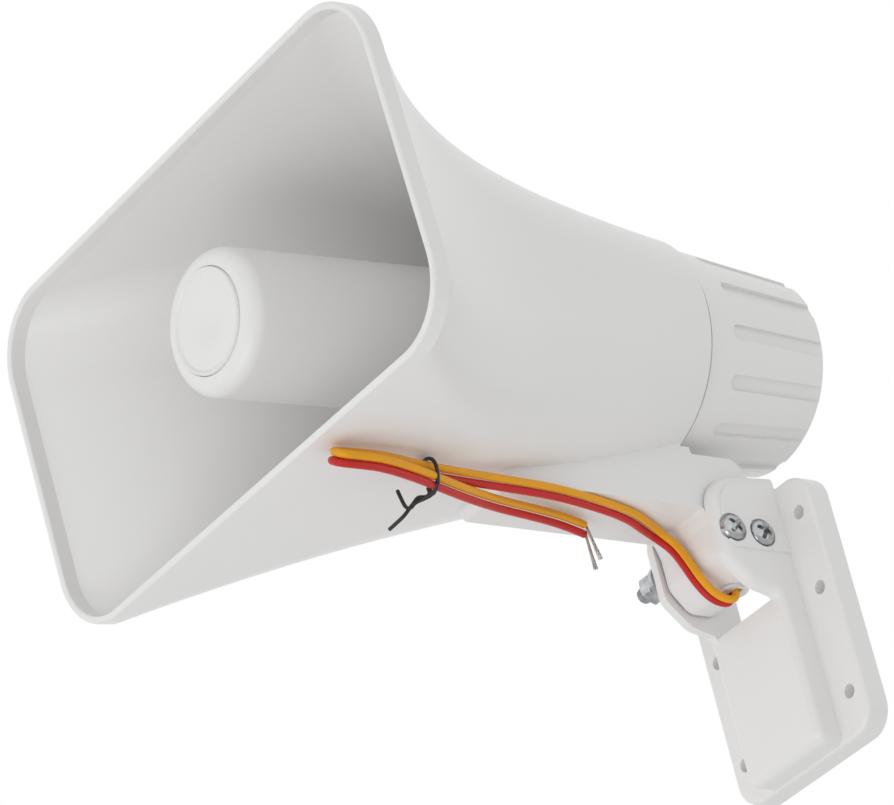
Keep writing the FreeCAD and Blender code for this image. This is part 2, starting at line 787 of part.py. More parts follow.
def ear_corners():
    """Side outline of an ear and of the box wall under it, (y, z, radius)."""
    back = flange_front + 0.5
    return [(back, -53.4, 0.0), (-1.4, -55.6, 13.0), (-1.4, -86.5, 6.0), (7.5, -96.0, 7.0),
            (box_front, -99.0, 3.0), (box_front, -box_bottom, box_corner), (back, -box_bottom, 0.0)]


def pad_corners():
    """Raised panel round the bolt heads."""
    return [(flange_front + 0.4, -57.0, 3.0), (2.0, -58.6, 10.5), (2.0 - 1.2, -pad_bottom, 4.0),
            (flange_front + 0.4, -pad_bottom, 0.0)]


def bolt(y, z):
    """Pan-head machine screw with a cross recess, head on the +X side."""
    head = [(0.0, bolt_seat + bolt_head_height), (bolt_head_radius * 0.45, bolt_seat + bolt_head_height * 0.95),
            (bolt_head_radius * 0.8, bolt_seat + bolt_head_height * 0.75),
            (bolt_head_radius, bolt_seat + bolt_head_height * 0.4), (bolt_head_radius, bolt_seat),
            (bolt_radius, bolt_seat), (bolt_radius, bolt_seat - bolt_length + 0.6),
            (bolt_radius - 0.6, bolt_seat - bolt_length), (0.0, bolt_seat - bolt_length)]
    solid = turned_x(head, y, z)
    top = bolt_seat + bolt_head_height + 1.0
    for angle in (45.0, 135.0):
        arm = block(top - 1.0 - recess_depth, top, -recess_length / 2, recess_length / 2,
                    -recess_width / 2, recess_width / 2)
        arm.rotate(Vector(0, 0, 0), X_AXIS, angle)
        arm.translate(Vector(0, y, z))
        solid = solid.cut(arm)
    return solid


def washer(y, z):
    far = -bolt_seat
    near = far - washer_thickness
    return rod_x(washer_radius, near, far, y, z).cut(rod_x(bolt_radius + 0.2, near - 1, far + 1, y, z))


def spring_washer(y, z):
    far = -bolt_seat - washer_thickness
    near = far - spring_washer_thickness
    ring = rod_x(spring_washer_radius, near, far, y, z).cut(rod_x(bolt_radius + 0.15, near - 1, far + 1, y, z))
    gap = block(near - 1, far + 1, -spring_washer_gap / 2, spring_washer_gap / 2, 0, spring_washer_radius + 1)
    gap.rotate(Vector(0, 0, 0), Y_AXIS, 0)
    gap.rotate(Vector(near, 0, 0), X_AXIS, 120.0)
    gap.translate(Vector(0, y, z))
    return ring.cut(gap)


def nut(y, z):
    far = -bolt_seat - washer_thickness - spring_washer_thickness
    near = far - nut_height
    corner = nut_across_flats / 2 / math.cos(math.radians(30))
    points = []
    for i in range(7):
        a = math.radians(60.0 * i + 20.0)
        points.append(Vector(near, y + corner * math.cos(a), z + corner * math.sin(a)))
    prism = Part.Face(Part.makePolygon(points)).extrude(Vector(nut_height, 0, 0))
    bevel = 0.9
    envelope = turned_x([(0.0, near), (corner - bevel, near), (corner + 0.1, near + bevel * 0.6),
                         (corner + 0.1, far - bevel * 0.6), (corner - bevel, far), (0.0, far)], y, z)
    return prism.common(envelope).cut(rod_x(bolt_radius + 0.02, near - 1, far + 1, y, z))


def cord_path(points):
    """Straight runs joined by tangent arcs, each as large as its two runs allow."""
    knots = [Vector(*p) for p in points]
    edges = []
    radii = []
    cursor = knots[0]
    for i in range(1, len(knots) - 1):
        back = knots[i - 1] - knots[i]
        ahead = knots[i + 1] - knots[i]
        reach = 0.45 * min(back.Length, ahead.Length)
        back.normalize()
        ahead.normalize()
        turn = math.pi - back.getAngle(ahead)
        radius = reach / math.tan(turn / 2)
        radii.append(radius)
        start, end = knots[i] + back * reach, knots[i] + ahead * reach
        inward = back + ahead
        inward.normalize()
        middle = knots[i] + inward * (radius / math.cos(turn / 2) - radius)
        edges.append(Part.LineSegment(cursor, start).toShape())
        edges.append(Part.Arc(start, middle, end).toShape())
        cursor = end
    edges.append(Part.LineSegment(cursor, knots[-1]).toShape())
    return Part.Wire(edges), radii


def sweep(points, radius):
    wire, radii = cord_path(points)
    first = Vector(*points[1]) - Vector(*points[0])
    circle = Part.Wire(Part.makeCircle(radius, Vector(*points[0]), first))
    return wire.makePipeShell([circle], True, False, 2), wire, radii


def cord(name, points, radius):
    tube, wire, radii = sweep(points, radius)
    expected = math.pi * radius ** 2 * wire.Length
    print(name, "radii", [round(r, 1) for r in radii], "length", round(wire.Length, 1),
          "volume share", round(tube.Volume / expected, 3))
    return tube


def bare_end(points, lean):
    """Twisted bare strands that hang from the end of a core."""
    last, before = Vector(*points[-1]), Vector(*points[-2])
    direction = last - before
    direction.normalize()
    return Part.makeCylinder(bare_radius, bare_length, last + direction * (bare_radius * 1.3), Vector(*lean))


def lead_tie():
    """Band wound round the four strands of the folded lead."""
    outline = rectangle(tie_half_width + tie_thickness, tie_half_height + tie_thickness,
                        -tie_half_height - tie_thickness, 2.4)
    hole = rectangle(tie_half_width, tie_half_height, -tie_half_height, 2.4 - tie_thickness)
    band = slab_y(outline, -tie_width / 2, tie_width / 2).cut(slab_y(hole, -tie_width, tie_width))
    band.rotate(Vector(0, 0, 0), Z_AXIS, tie_turn)
    band.translate(Vector(*tie_place))
    return band


# Routes of the two cores, chosen by hand, about the driver axis
inner_yellow_route = [
    (3.0, 33.7, -23.0), (3.0, 22.0, -26.5), (3.0, 6.0, -30.6), (2.4, -4.6, -31.8), (1.6, -4.5, -40.0),
    (1.6, -4.0, -52.0), (3.2, 9.0, -65.5), (3.3, 9.4, -79.0), (4.4, 9.6, -84.0), (5.8, 10.5, -88.2)]
inner_red_route = [
    (-3.0, 33.7, -23.0), (-3.0, 22.0, -26.5), (-3.0, 6.0, -30.6), (-2.4, -4.6, -31.8), (-1.6, -4.5, -40.0),
    (-1.6, -4.0, -52.0), (0.2, 9.0, -65.5), (0.3, 9.4, -79.0), (1.4, 9.6, -84.0), (2.8, 10.5, -88.2)]
yellow_route = [
    (6.3, 11.0, -88.9), (6.5, 11.2, -94.9), (6.5, 6.8, -96.8), (5.7, 1.4, -94.2), (4.3, -1.8, -87.6),
    (1.4, -2.0, -79.6), (-2.0, -2.2, -72.0), (-3.2, -6.6, -67.4), (0.6, -13.5, -67.2), (7.0, -26.0, -67.1),
    (11.8, -44.3, -67.1), (16.0, -66.3, -67.2), (17.6, -86.7, -67.6), (20.2, -108.2, -68.7),
    (26.3, -130.6, -71.9), (31.3, -148.8, -73.6), (32.4, -159.2, -74.5), (32.5, -171.5, -75.2),
    (38.8, -172.2, -80.0), (38.4, -163.8, -79.5), (36.5, -152.9, -78.3), (30.6, -134.4, -77.0),
    (20.6, -110.4, -74.9), (11.4, -88.7, -71.7), (5.2, -67.8, -69.3), (0.3, -50.5, -67.9),
    (-1.9, -41.6, -68.6)]
red_route = [
    (3.4, 11.0, -88.9), (3.6, 11.2, -94.9), (3.5, 6.8, -96.8), (2.7, 1.4, -94.2), (1.3, -1.8, -87.6),
    (-1.6, -2.1, -79.6), (-5.0, -2.2, -72.2), (-6.2, -6.8, -67.9), (-2.4, -15.0, -67.9), (4.6, -28.0, -68.3),
    (9.8, -45.3, -68.9), (14.2, -66.3, -69.3), (15.7, -86.7, -69.6), (18.0, -108.2, -70.7),
    (24.2, -130.6, -73.9), (29.2, -148.8, -75.6), (30.3, -159.2, -76.6), (30.4, -171.5, -77.3),
    (36.7, -172.2, -82.1), (36.3, -163.8, -81.6), (34.5, -152.9, -80.4), (28.7, -134.4, -79.2),
    (18.7, -110.4, -77.1), (9.5, -88.7, -73.9), (3.3, -67.8, -71.5), (-1.8, -50.5, -70.1),
    (-4.4, -40.4, -70.8)]

os.makedirs("parts", exist_ok=True)

save("horn_bell", horn_bell())
save("rear_cap", rear_cap())
save("cap_seal", cap_seal())
save("reflector_cup", reflector_cup())
save("cup_insert", cup_insert())
save("throat_horn", throat_horn())
save("driver_gasket", driver_gasket())
save("diaphragm_ring", diaphragm_ring())
save("surround", surround())
save("diaphragm", diaphragm())
save("voice_coil", voice_coil())
save("top_plate", top_plate())
save("magnet", magnet())
save("back_plate", back_plate())
save("driver_screws", driver_screws())
save("drive_wires", drive_wires())
save("circuit_board", circuit_board())
save("board_screws", board_screws())
save("sound_chip", sound_chip())
save("capacitor", capacitor())
save("power_transistor", power_transistor())
save("resistors", resistors())
save("exit_grommet", exit_grommet())
save("bracket_base", bracket_base())
for label, y, z in (("pivot", pivot_y, pivot_z), ("clamp", clamp_y, clamp_z)):
    save(label + "_bolt", bolt(y, z))
    save(label + "_washer", washer(y, z))
    save(label + "_spring_washer", spring_washer(y, z))
    save(label + "_nut", nut(y, z))
save("inner_lead_yellow", cord("inner_lead_yellow", inner_yellow_route, core_radius))
save("inner_lead_red", cord("inner_lead_red", inner_red_route, core_radius))
save("lead_yellow", cord("lead_yellow", yellow_route, core_radius))
save("lead_red", cord("lead_red", red_route, core_radius))
save("bare_end_yellow", bare_end(yellow_route, (0.0, 0.22, -1.0)))
save("bare_end_red", bare_end(red_route, (0.0, 0.05, -1.0)))
save("lead_tie", lead_tie())
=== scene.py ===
import json
import math

import bmesh
import bpy
from bpy.props import FloatProperty, FloatVectorProperty, IntProperty, PointerProperty
from mathutils import Euler, Matrix, Vector


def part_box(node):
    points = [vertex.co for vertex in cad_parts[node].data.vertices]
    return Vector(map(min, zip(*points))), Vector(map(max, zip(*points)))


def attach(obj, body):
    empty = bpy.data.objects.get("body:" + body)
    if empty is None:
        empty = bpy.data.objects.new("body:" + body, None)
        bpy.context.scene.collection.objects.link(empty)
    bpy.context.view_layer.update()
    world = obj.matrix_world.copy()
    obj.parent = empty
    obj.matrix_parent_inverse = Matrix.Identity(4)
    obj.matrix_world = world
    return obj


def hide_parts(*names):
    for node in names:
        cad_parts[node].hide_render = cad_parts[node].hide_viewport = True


bl_info = {
    "name": "Alarm Horn Speaker",
    "version": (1, 0, 0),
    "blender": (4, 5, 0),
    "location": "View3D > Sidebar > Horn",
    "description": "Dresses an oblong-mouthed alarm horn on its tilting wall bracket",
    "category": "Object",
}

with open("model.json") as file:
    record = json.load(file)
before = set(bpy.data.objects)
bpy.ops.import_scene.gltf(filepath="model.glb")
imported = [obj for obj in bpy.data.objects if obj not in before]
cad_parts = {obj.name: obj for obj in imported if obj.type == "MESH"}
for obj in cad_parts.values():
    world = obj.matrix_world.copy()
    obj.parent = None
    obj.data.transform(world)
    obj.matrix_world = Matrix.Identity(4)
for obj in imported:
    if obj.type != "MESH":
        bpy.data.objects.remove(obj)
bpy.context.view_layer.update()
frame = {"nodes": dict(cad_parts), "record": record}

# The driver axis, where the collar's back edge is, seen from the centre of the wall face
DRIVER_AXIS = Vector((0.0, -0.037, 0.10685))

# The two cores of the lead, in metres about the driver axis
YELLOW_ROUTE = [
    (0.0063, 0.0110, -0.0889), (0.0065, 0.0112, -0.0949), (0.0065, 0.0068, -0.0968),
    (0.0057, 0.0014, -0.0942), (0.0043, -0.0018, -0.0876), (0.0014, -0.0020, -0.0796),
    (-0.0020, -0.0022, -0.0720),
    (-0.0032, -0.0066, -0.0674), (0.0006, -0.0135, -0.0672), (0.0070, -0.0260, -0.0671),
    (0.0118, -0.0443, -0.0671), (0.0160, -0.0663, -0.0672), (0.0176, -0.0867, -0.0676),
    (0.0202, -0.1082, -0.0687), (0.0263, -0.1306, -0.0719), (0.0313, -0.1488, -0.0736),
    (0.0324, -0.1592, -0.0745), (0.0325, -0.1715, -0.0752), (0.0388, -0.1722, -0.0800),
    (0.0384, -0.1638, -0.0795), (0.0365, -0.1529, -0.0783), (0.0306, -0.1344, -0.0770),
    (0.0206, -0.1104, -0.0749), (0.0114, -0.0887, -0.0717), (0.0052, -0.0678, -0.0693),
    (0.0003, -0.0505, -0.0679), (-0.0019, -0.0416, -0.0686)]
RED_ROUTE = [
    (0.0034, 0.0110, -0.0889), (0.0036, 0.0112, -0.0949), (0.0035, 0.0068, -0.0968),
    (0.0027, 0.0014, -0.0942), (0.0013, -0.0018, -0.0876), (-0.0016, -0.0021, -0.0796),
    (-0.0050, -0.0022, -0.0722),
    (-0.0062, -0.0068, -0.0679), (-0.0024, -0.0150, -0.0679), (0.0046, -0.0280, -0.0683),
    (0.0098, -0.0453, -0.0689), (0.0142, -0.0663, -0.0693), (0.0157, -0.0867, -0.0696),
    (0.0180, -0.1082, -0.0707), (0.0242, -0.1306, -0.0739), (0.0292, -0.1488, -0.0756),
    (0.0303, -0.1592, -0.0766), (0.0304, -0.1715, -0.0773), (0.0367, -0.1722, -0.0821),
    (0.0363, -0.1638, -0.0816), (0.0345, -0.1529, -0.0804), (0.0287, -0.1344, -0.0792),
    (0.0187, -0.1104, -0.0771), (0.0095, -0.0887, -0.0739), (0.0033, -0.0678, -0.0715),
    (-0.0018, -0.0505, -0.0701), (-0.0044, -0.0404, -0.0708)]

# The tie wire: its closed loop round the folded lead, and the two tails of its knot
TIE_LOOP = [
    (0.0206, -0.1250, -0.0732), (0.0206, -0.1262, -0.0700), (0.0230, -0.1270, -0.0689),
    (0.0262, -0.1272, -0.0690), (0.0288, -0.1272, -0.0710), (0.0294, -0.1270, -0.0744),
    (0.0278, -0.1266, -0.0786), (0.0240, -0.1262, -0.0808), (0.0216, -0.1252, -0.0794)]
TIE_FIRST_TAIL = [
    (0.0278, -0.1266, -0.0786), (0.0240, -0.1263, -0.0808), (0.0206, -0.1273, -0.0808),
    (0.0174, -0.1292, -0.0808), (0.0166, -0.1306, -0.0826), (0.0150, -0.1312, -0.0818),
    (0.0138, -0.1312, -0.0785), (0.0128, -0.1312, -0.0742)]
TIE_SECOND_TAIL = [
    (0.0206, -0.1252, -0.0768), (0.0215, -0.1253, -0.0793), (0.0204, -0.1268, -0.0802),
    (0.0188, -0.1286, -0.0794), (0.0180, -0.1300, -0.0812), (0.0152, -0.1304, -0.0822),
    (0.0140, -0.1318, -0.0840), (0.0108, -0.1328, -0.0850), (0.0073, -0.1336, -0.0857)]

# The camera of the photograph, about the driver axis
CAMERA_PLACE = Vector((1.00219474, -0.98464772, -0.71149981))
CAMERA_TURN = Euler((2.0528831806810244, 0.21445480263790828, 0.9529741544606899), "XYZ")

# Place and width of the two lamps, and the point that they face
KEY_LAMP = ((-1.5, -1.9, 1.7), 1.5)
FILL_LAMP = ((0.05, -0.85, -0.70), 0.8)
LAMP_TARGET = Vector((0.0, -0.12, 0.05))

# Section of the raised ring on the cup's disc: height over its face, and distance from its edge
DISC_RING = [
    (0.0, 0.0), (0.0006, 0.0001), (0.0009, 0.0004), (0.0009, 0.0008), (0.0006, 0.0012), (0.0, 0.0016)]

# Turns of the voice coil, the distance between them and the wire's radius
COIL_TURNS = 22
COIL_PITCH = 0.00026
COIL_WIRE_RADIUS = 0.00013


# Node helpers

class Signal:
    """A node socket on which Python arithmetic adds Math nodes."""

    def __init__(self, bench, socket):
        self.bench = bench
        self.socket = socket

    def calculate(self, operation, left, right=0.0, clamp=False):
        settings = {"operation": operation, "use_clamp": clamp}
        made = self.bench.node("ShaderNodeMath", settings, {0: left, 1: right})
        return Signal(self.bench, made.outputs[0])

    def __add__(self, other):
        return self.calculate("ADD", self, other)

    def __radd__(self, other):
        return self.calculate("ADD", other, self)

    def __sub__(self, other):
        return self.calculate("SUBTRACT", self, other)

    def __rsub__(self, other):
        return self.calculate("SUBTRACT", other, self)

    def __mul__(self, other):
        return self.calculate("MULTIPLY", self, other)

    def __rmul__(self, other):
        return self.calculate("MULTIPLY", other, self)

    def __truediv__(self, other):
        return self.calculate("DIVIDE", self, other)

    def __rtruediv__(self, other):
        return self.calculate("DIVIDE", other, self)

    def __pow__(self, other):
        return self.calculate("POWER", self, other)

    def clamped(self):
        return self.calculate("ADD", self, 0.0, True)

    def sine(self):
        return self.calculate("SINE", self)

    def cosine(self):
        return self.calculate("COSINE", self)

    def above(self, level):
        return self.calculate("GREATER_THAN", self, level)

    def triangle(self, period):
        return self.calculate("PINGPONG", self, period)


class Bench:
    """Builds one node tree; every node comes from the method node."""

    def __init__(self, tree):
        self.tree = tree
        self.tree.nodes.clear()

    def node(self, kind, settings=None, sockets=None):
        made = self.tree.nodes.new(kind)
        for key, value in (settings or {}).items():
            setattr(made, key, value)
        for key, value in (sockets or {}).items():
            self.feed(made.inputs[key], value)
        return made

    def feed(self, socket, value):
        if isinstance(value, Signal):
            value = value.socket
        if isinstance(value, bpy.types.NodeSocket):
            self.tree.links.new(value, socket)
        elif isinstance(value, (tuple, list, Vector)) and socket.type == "RGBA":
            socket.default_value = tuple(value)[:3] + (1.0,)
        else:
            socket.default_value = value

    def signal(self, kind, settings=None, sockets=None, output=0):
        return Signal(self, self.node(kind, settings, sockets).outputs[output])

    def mixed(self, share, first, second):
        """Colour between first and second."""
        made = self.node("ShaderNodeMix", {"data_type": "RGBA"}, {0: share, 6: first, 7: second})
        return made.outputs[2]


class Finish(Bench):
    """Node tree of one surface finish on object coordinates."""

    def __init__(self, name):
        self.material = bpy.data.materials.new(name)
        self.material.use_nodes = True
        super().__init__(self.material.node_tree)
        self.place = self.node("ShaderNodeTexCoord").outputs["Object"]
        self.shader = self.node("ShaderNodeBsdfPrincipled")
        output = self.node("ShaderNodeOutputMaterial")
        self.tree.links.new(self.shader.outputs[0], output.inputs["Surface"])

    def grain(self, scale, detail=3.0, roughness=0.5, stretch=(1.0, 1.0, 1.0)):
        """Cloudy value from 0 to 1; scale is in features a metre."""
        mapped = self.node("ShaderNodeMapping", None, {"Vector": self.place, "Scale": stretch})
        return self.signal("ShaderNodeTexNoise", {"noise_dimensions": "3D"}, {
            "Vector": mapped.outputs[0], "Scale": scale, "Detail": detail, "Roughness": roughness})

    def axis(self, letter):
        """One coordinate of the object, in metres."""
        parts = self.node("ShaderNodeSeparateXYZ", None, {"Vector": self.place})
        return Signal(self, parts.outputs[letter])

    def surface(self, colour, roughness, metallic=0.0, height=None, distance=0.0001, strength=1.0,
                **constants):
        self.feed(self.shader.inputs["Base Color"], colour)
        self.feed(self.shader.inputs["Roughness"], roughness)
        self.feed(self.shader.inputs["Metallic"], metallic)
        if height is not None:
            bump = self.node("ShaderNodeBump", None,
                             {"Height": height, "Distance": distance, "Strength": strength})
            self.feed(self.shader.inputs["Normal"], bump.outputs[0])
        for name, value in constants.items():
            self.feed(self.shader.inputs[name.replace("_", " ")], value)
        return self.material


def shade(colour, share):
    return tuple(c * share for c in colour[:3])


# Finishes

def moulded_gloss(name, colour, roughness):
    """Gloss ABS: faint flow clouds, a fine mould grain and slight handling dullness."""
    finish = Finish(name)
    clouds = finish.grain(14.0, 4.0)
    grain = finish.grain(650.0, 3.0)
    tone = finish.mixed(clouds * 0.8 + grain * 0.2, shade(colour, 0.965), shade(colour, 1.02))
    dull = (clouds - 0.5) * 0.10 + (grain - 0.5) * 0.02 + roughness
    return finish.surface(tone, dull.clamped(), 0.0, grain, 0.00002, 0.07)


def moulded_matt(name, colour, roughness):
    finish = Finish(name)
    clouds = finish.grain(60.0, 3.0)
    grain = finish.grain(1700.0, 3.0)
    tone = finish.mixed(clouds, shade(colour, 0.85), shade(colour, 1.1))
    return finish.surface(tone, (roughness + (grain - 0.5) * 0.18).clamped(), 0.0, grain, 0.00008, 0.6)


def soft_rubber(name):
    finish = Finish(name)
    grain = finish.grain(2600.0, 4.0)
    dust = finish.grain(180.0, 3.0)
    tone = finish.mixed((dust - 0.45) * 2.2, (0.018, 0.018, 0.019), (0.045, 0.044, 0.043))
    return finish.surface(tone, (0.72 + (grain - 0.5) * 0.3).clamped(), 0.0, grain, 0.00006, 0.7)


def plated(name, colour, roughness, stretch=(1.0, 1.0, 1.0)):
    """Zinc or nickel plate: thin brushing marks under a slightly uneven bright coat."""
    finish = Finish(name)
    marks = finish.grain(900.0, 4.0, 0.6, stretch)
    stains = finish.grain(240.0, 3.0)
    tone = finish.mixed((stains - 0.3) * 2.2, shade(colour, 0.55), shade(colour, 1.08))
    dull = (roughness + (marks - 0.5) * 0.16 + (stains - 0.5) * 0.12).clamped()
    return finish.surface(tone, dull, 1.0, marks, 0.00004, 0.35)


def sintered(name):
    finish = Finish(name)
    grit = finish.grain(1500.0, 5.0, 0.7)
    chips = finish.grain(300.0, 2.0).above(0.68)
    tone = finish.mixed(chips * 0.4 + grit * 0.6, (0.030, 0.030, 0.033), (0.085, 0.083, 0.083))
    return finish.surface(tone, 0.62, 0.0, grit + chips * 0.5, 0.00012, 0.8)


def phenolic_film(name):
    finish = Finish(name)
    fibres = finish.grain(700.0, 5.0, 0.65, (1.0, 0.3, 1.0))
    tone = finish.mixed(fibres, (0.50, 0.34, 0.10), (0.78, 0.62, 0.30))
    return finish.surface(tone, (0.38 + fibres * 0.14).clamped(), 0.0, fibres, 0.00005, 0.5)


def wound_copper(name):
    """Enamelled winding: rows of turns along Y, with painted shade between turns and a small painted
    highlight on each turn.
    """
    finish = Finish(name)
    turns = (finish.axis("Y") * (2.0 * math.pi / COIL_PITCH)).sine() * 0.5 + 0.5
    enamel = finish.grain(420.0, 3.0)
    # Painted shade and painted highlight: the colour follows the turns' wave, dark between turns and bright
    # on each crest; the enamel grain adds random tone.
    tone = finish.mixed(turns * 0.7 + enamel * 0.3, (0.36, 0.12, 0.05), (0.86, 0.42, 0.20))
    return finish.surface(tone, (0.22 + enamel * 0.2).clamped(), 0.85, turns, 0.00010, 0.8)


def solder_mask(name):
    """Green board with tracks that show under the mask and a few bare pads."""
    finish = Finish(name)
    column = (finish.axis("X") * 210.0).triangle(1.0)
    row = (finish.axis("Z") * 165.0).triangle(1.0)
    wander = finish.grain(70.0, 1.0)
    track = (column + wander * 0.8).triangle(0.5).above(0.36)
    pad = finish.signal("ShaderNodeTexVoronoi", {"feature": "F1"}, {"Vector": finish.place, "Scale": 190.0})
    bare = 1.0 - pad.above(0.16)
    weave = finish.grain(1200.0, 2.0)
    green = finish.mixed(track * 0.75 + row * 0.1, (0.010, 0.115, 0.040), (0.045, 0.270, 0.100))
    tone = finish.mixed(bare, green, (0.66, 0.63, 0.58))
    return finish.surface(tone, (0.34 + weave * 0.12 - bare * 0.1).clamped(), bare * 0.9,
                          track * 0.6 + bare * 0.8 + weave * 0.1, 0.00006, 0.8)


def flexible_pvc(name, colour):
    """Extruded insulation: soft gloss, slight pulled streaks and faint grime."""
    finish = Finish(name)
    clouds = finish.grain(85.0, 3.0)
    streaks = finish.grain(1500.0, 2.0, 0.5, (0.35, 0.12, 1.0))
    tone = finish.mixed(clouds * 0.7 + streaks * 0.3, shade(colour, 0.86), shade(colour, 1.08))
    return finish.surface(tone, (0.36 + (clouds - 0.5) * 0.16 + streaks * 0.08).clamped(), 0.0,
                          streaks, 0.00005, 0.5, Specular_IOR_Level=0.30)


def studio_floor(name, colour):
    finish = Finish(name)
    clouds = finish.grain(3.0, 3.0)
    tone = finish.mixed(clouds, shade(colour, 0.985), colour[:3])
    return finish.surface(tone, 0.85, 0.0)


FINISHES = {}


def mix_finishes(look):
    """One finish for each material slot of the record."""
    FINISHES["white_abs"] = moulded_gloss("gloss_white_shell", look.shell_colour, look.shell_roughness)
    FINISHES["white_plastic"] = moulded_matt("plain_white_moulding", (0.80, 0.80, 0.785), 0.46)
    FINISHES["black_plastic"] = moulded_matt("black_moulding", (0.016, 0.016, 0.017), 0.36)
    FINISHES["black_rubber"] = soft_rubber("matt_rubber")
    FINISHES["zinc_steel"] = plated("zinc_plate", (0.62, 0.63, 0.64), 0.20)
    FINISHES["plate_steel"] = plated("driver_plate", (0.56, 0.57, 0.59), 0.34, (1.0, 6.0, 1.0))
    FINISHES["ferrite"] = sintered("ferrite_ring")
    FINISHES["amber_film"] = phenolic_film("phenolic_dome")
    FINISHES["copper_wire"] = wound_copper("coil_winding")
    FINISHES["board_green"] = solder_mask("board_mask")
    FINISHES["yellow_pvc"] = flexible_pvc("yellow_insulation", look.yellow_colour)
    FINISHES["red_pvc"] = flexible_pvc("red_insulation", look.red_colour)
    FINISHES["tinned_copper"] = plated("tinned_strands", (0.78, 0.77, 0.75), 0.34, (1.0, 1.0, 5.0))


def node_slots():
    return {part["node"]: part["material_slot"] for part in frame["record"]["subparts"]}


def dress(names):
    """Give carried-over solids the finish of their slot."""
    slots = node_slots()
    for name in names:
        mesh = frame["nodes"][name].data
        mesh.materials.clear()
        mesh.materials.append(FINISHES[slots[name]])


def middle(name):
    low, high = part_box(name)
    return (low + high) / 2


def new_object(name, data):
    made = bpy.data.objects.new(name, data)
    bpy.context.scene.collection.objects.link(made)
    return made


def smooth_by_angle(mesh, degrees):
    mesh.shade_smooth()
    mesh.set_sharp_from_angle(angle=math.radians(degrees))


def freeze(piece):
    """Turn a piece with its modifiers into a plain mesh."""
    bpy.context.view_layer.update()
    evaluated = piece.evaluated_get(bpy.context.evaluated_depsgraph_get())
    mesh = bpy.data.meshes.new_from_object(evaluated)
    piece.modifiers.clear()
    old = piece.data
    piece.data = mesh
    mesh.name = piece.name
    bpy.data.meshes.remove(old)


def put_on(piece, body, slot_name, *nodes):
    """Finish, slot, body and the solids that the piece stands for."""
    if not piece.data.materials:
        piece.data.materials.append(FINISHES[slot_name])
    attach(piece, body)
    if nodes:
        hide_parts(*nodes)


# Geometry nodes

class ShapeTree(Bench):
    """Geometry node tree with one geometry in and out and named inputs."""

    def __init__(self, name, sockets):
        tree = bpy.data.node_groups.new(name, "GeometryNodeTree")
        tree.interface.new_socket("Geometry", in_out="INPUT", socket_type="NodeSocketGeometry")
        tree.interface.new_socket("Geometry", in_out="OUTPUT", socket_type="NodeSocketGeometry")
        for label, kind in sockets:
            tree.interface.new_socket(label, in_out="INPUT", socket_type="NodeSocket" + kind)
        super().__init__(tree)
        self.given = self.node("NodeGroupInput").outputs

    def wanted(self, label):
        """A named input as a value to reckon with."""
        return Signal(self, self.given[label])

    def along_x(self, amount):
        return self.node("ShaderNodeCombineXYZ", None, {"X": amount}).outputs[0]

    def vectors(self, operation, sockets):
        return self.node("ShaderNodeVectorMath", {"operation": operation}, sockets).outputs[0]

    def circle(self, points, radius):
        return self.node("GeometryNodeCurvePrimitiveCircle", {"mode": "RADIUS"},
                         {"Resolution": points, "Radius": radius}).outputs[0]

    def joined(self, *parts):
        both = self.node("GeometryNodeJoinGeometry")
        for part in parts:
            self.tree.links.new(part, both.inputs[0])
        return both.outputs[0]

    def set_at_both(self, fastener):
        """One fastener at the pivot and one at the clamp."""
        first = self.node("GeometryNodeTransform", None, {
            "Geometry": fastener, "Translation": self.given["Pivot Place"]})
        second = self.node("GeometryNodeTransform", None, {
            "Geometry": fastener, "Translation": self.given["Clamp Place"],
            "Rotation": self.along_x(self.given["Clamp Turn"])})
        self.end(self.joined(first.outputs[0], second.outputs[0]))

    def end(self, geometry, soft=False):
        """Realise the instances, set the finish and end the tree."""
        whole = self.node("GeometryNodeRealizeInstances", None, {0: geometry})
        if soft:
            whole = self.node("GeometryNodeSetShadeSmooth", None, {"Geometry": whole.outputs[0]})
        painted = self.node("GeometryNodeSetMaterial", None, {
            "Geometry": whole.outputs[0], "Material": self.given["Finish"]})
        self.node("NodeGroupOutput", None, {0: painted.outputs[0]})


def run_tree(piece, tree, values):
    """Put the tree on a piece with its inputs set by identifier, and freeze the result."""
    modifier = piece.modifiers.new(tree.name, "NODES")
    modifier.node_group = tree
    for item in tree.interface.items_tree:
        if item.in_out == "INPUT" and item.name in values:
            modifier[item.identifier] = values[item.name]
    freeze(piece)


PLACE_SOCKETS = [("Pivot Place", "Vector"), ("Clamp Place", "Vector"), ("Clamp Turn", "Float"),
                 ("Finish", "Material")]


def pair_tree():
    """Two copies of the incoming fastener, one at each place."""
    bench = ShapeTree("fastener_pair", PLACE_SOCKETS)
    bench.set_at_both(bench.given["Geometry"])
    return bench.tree


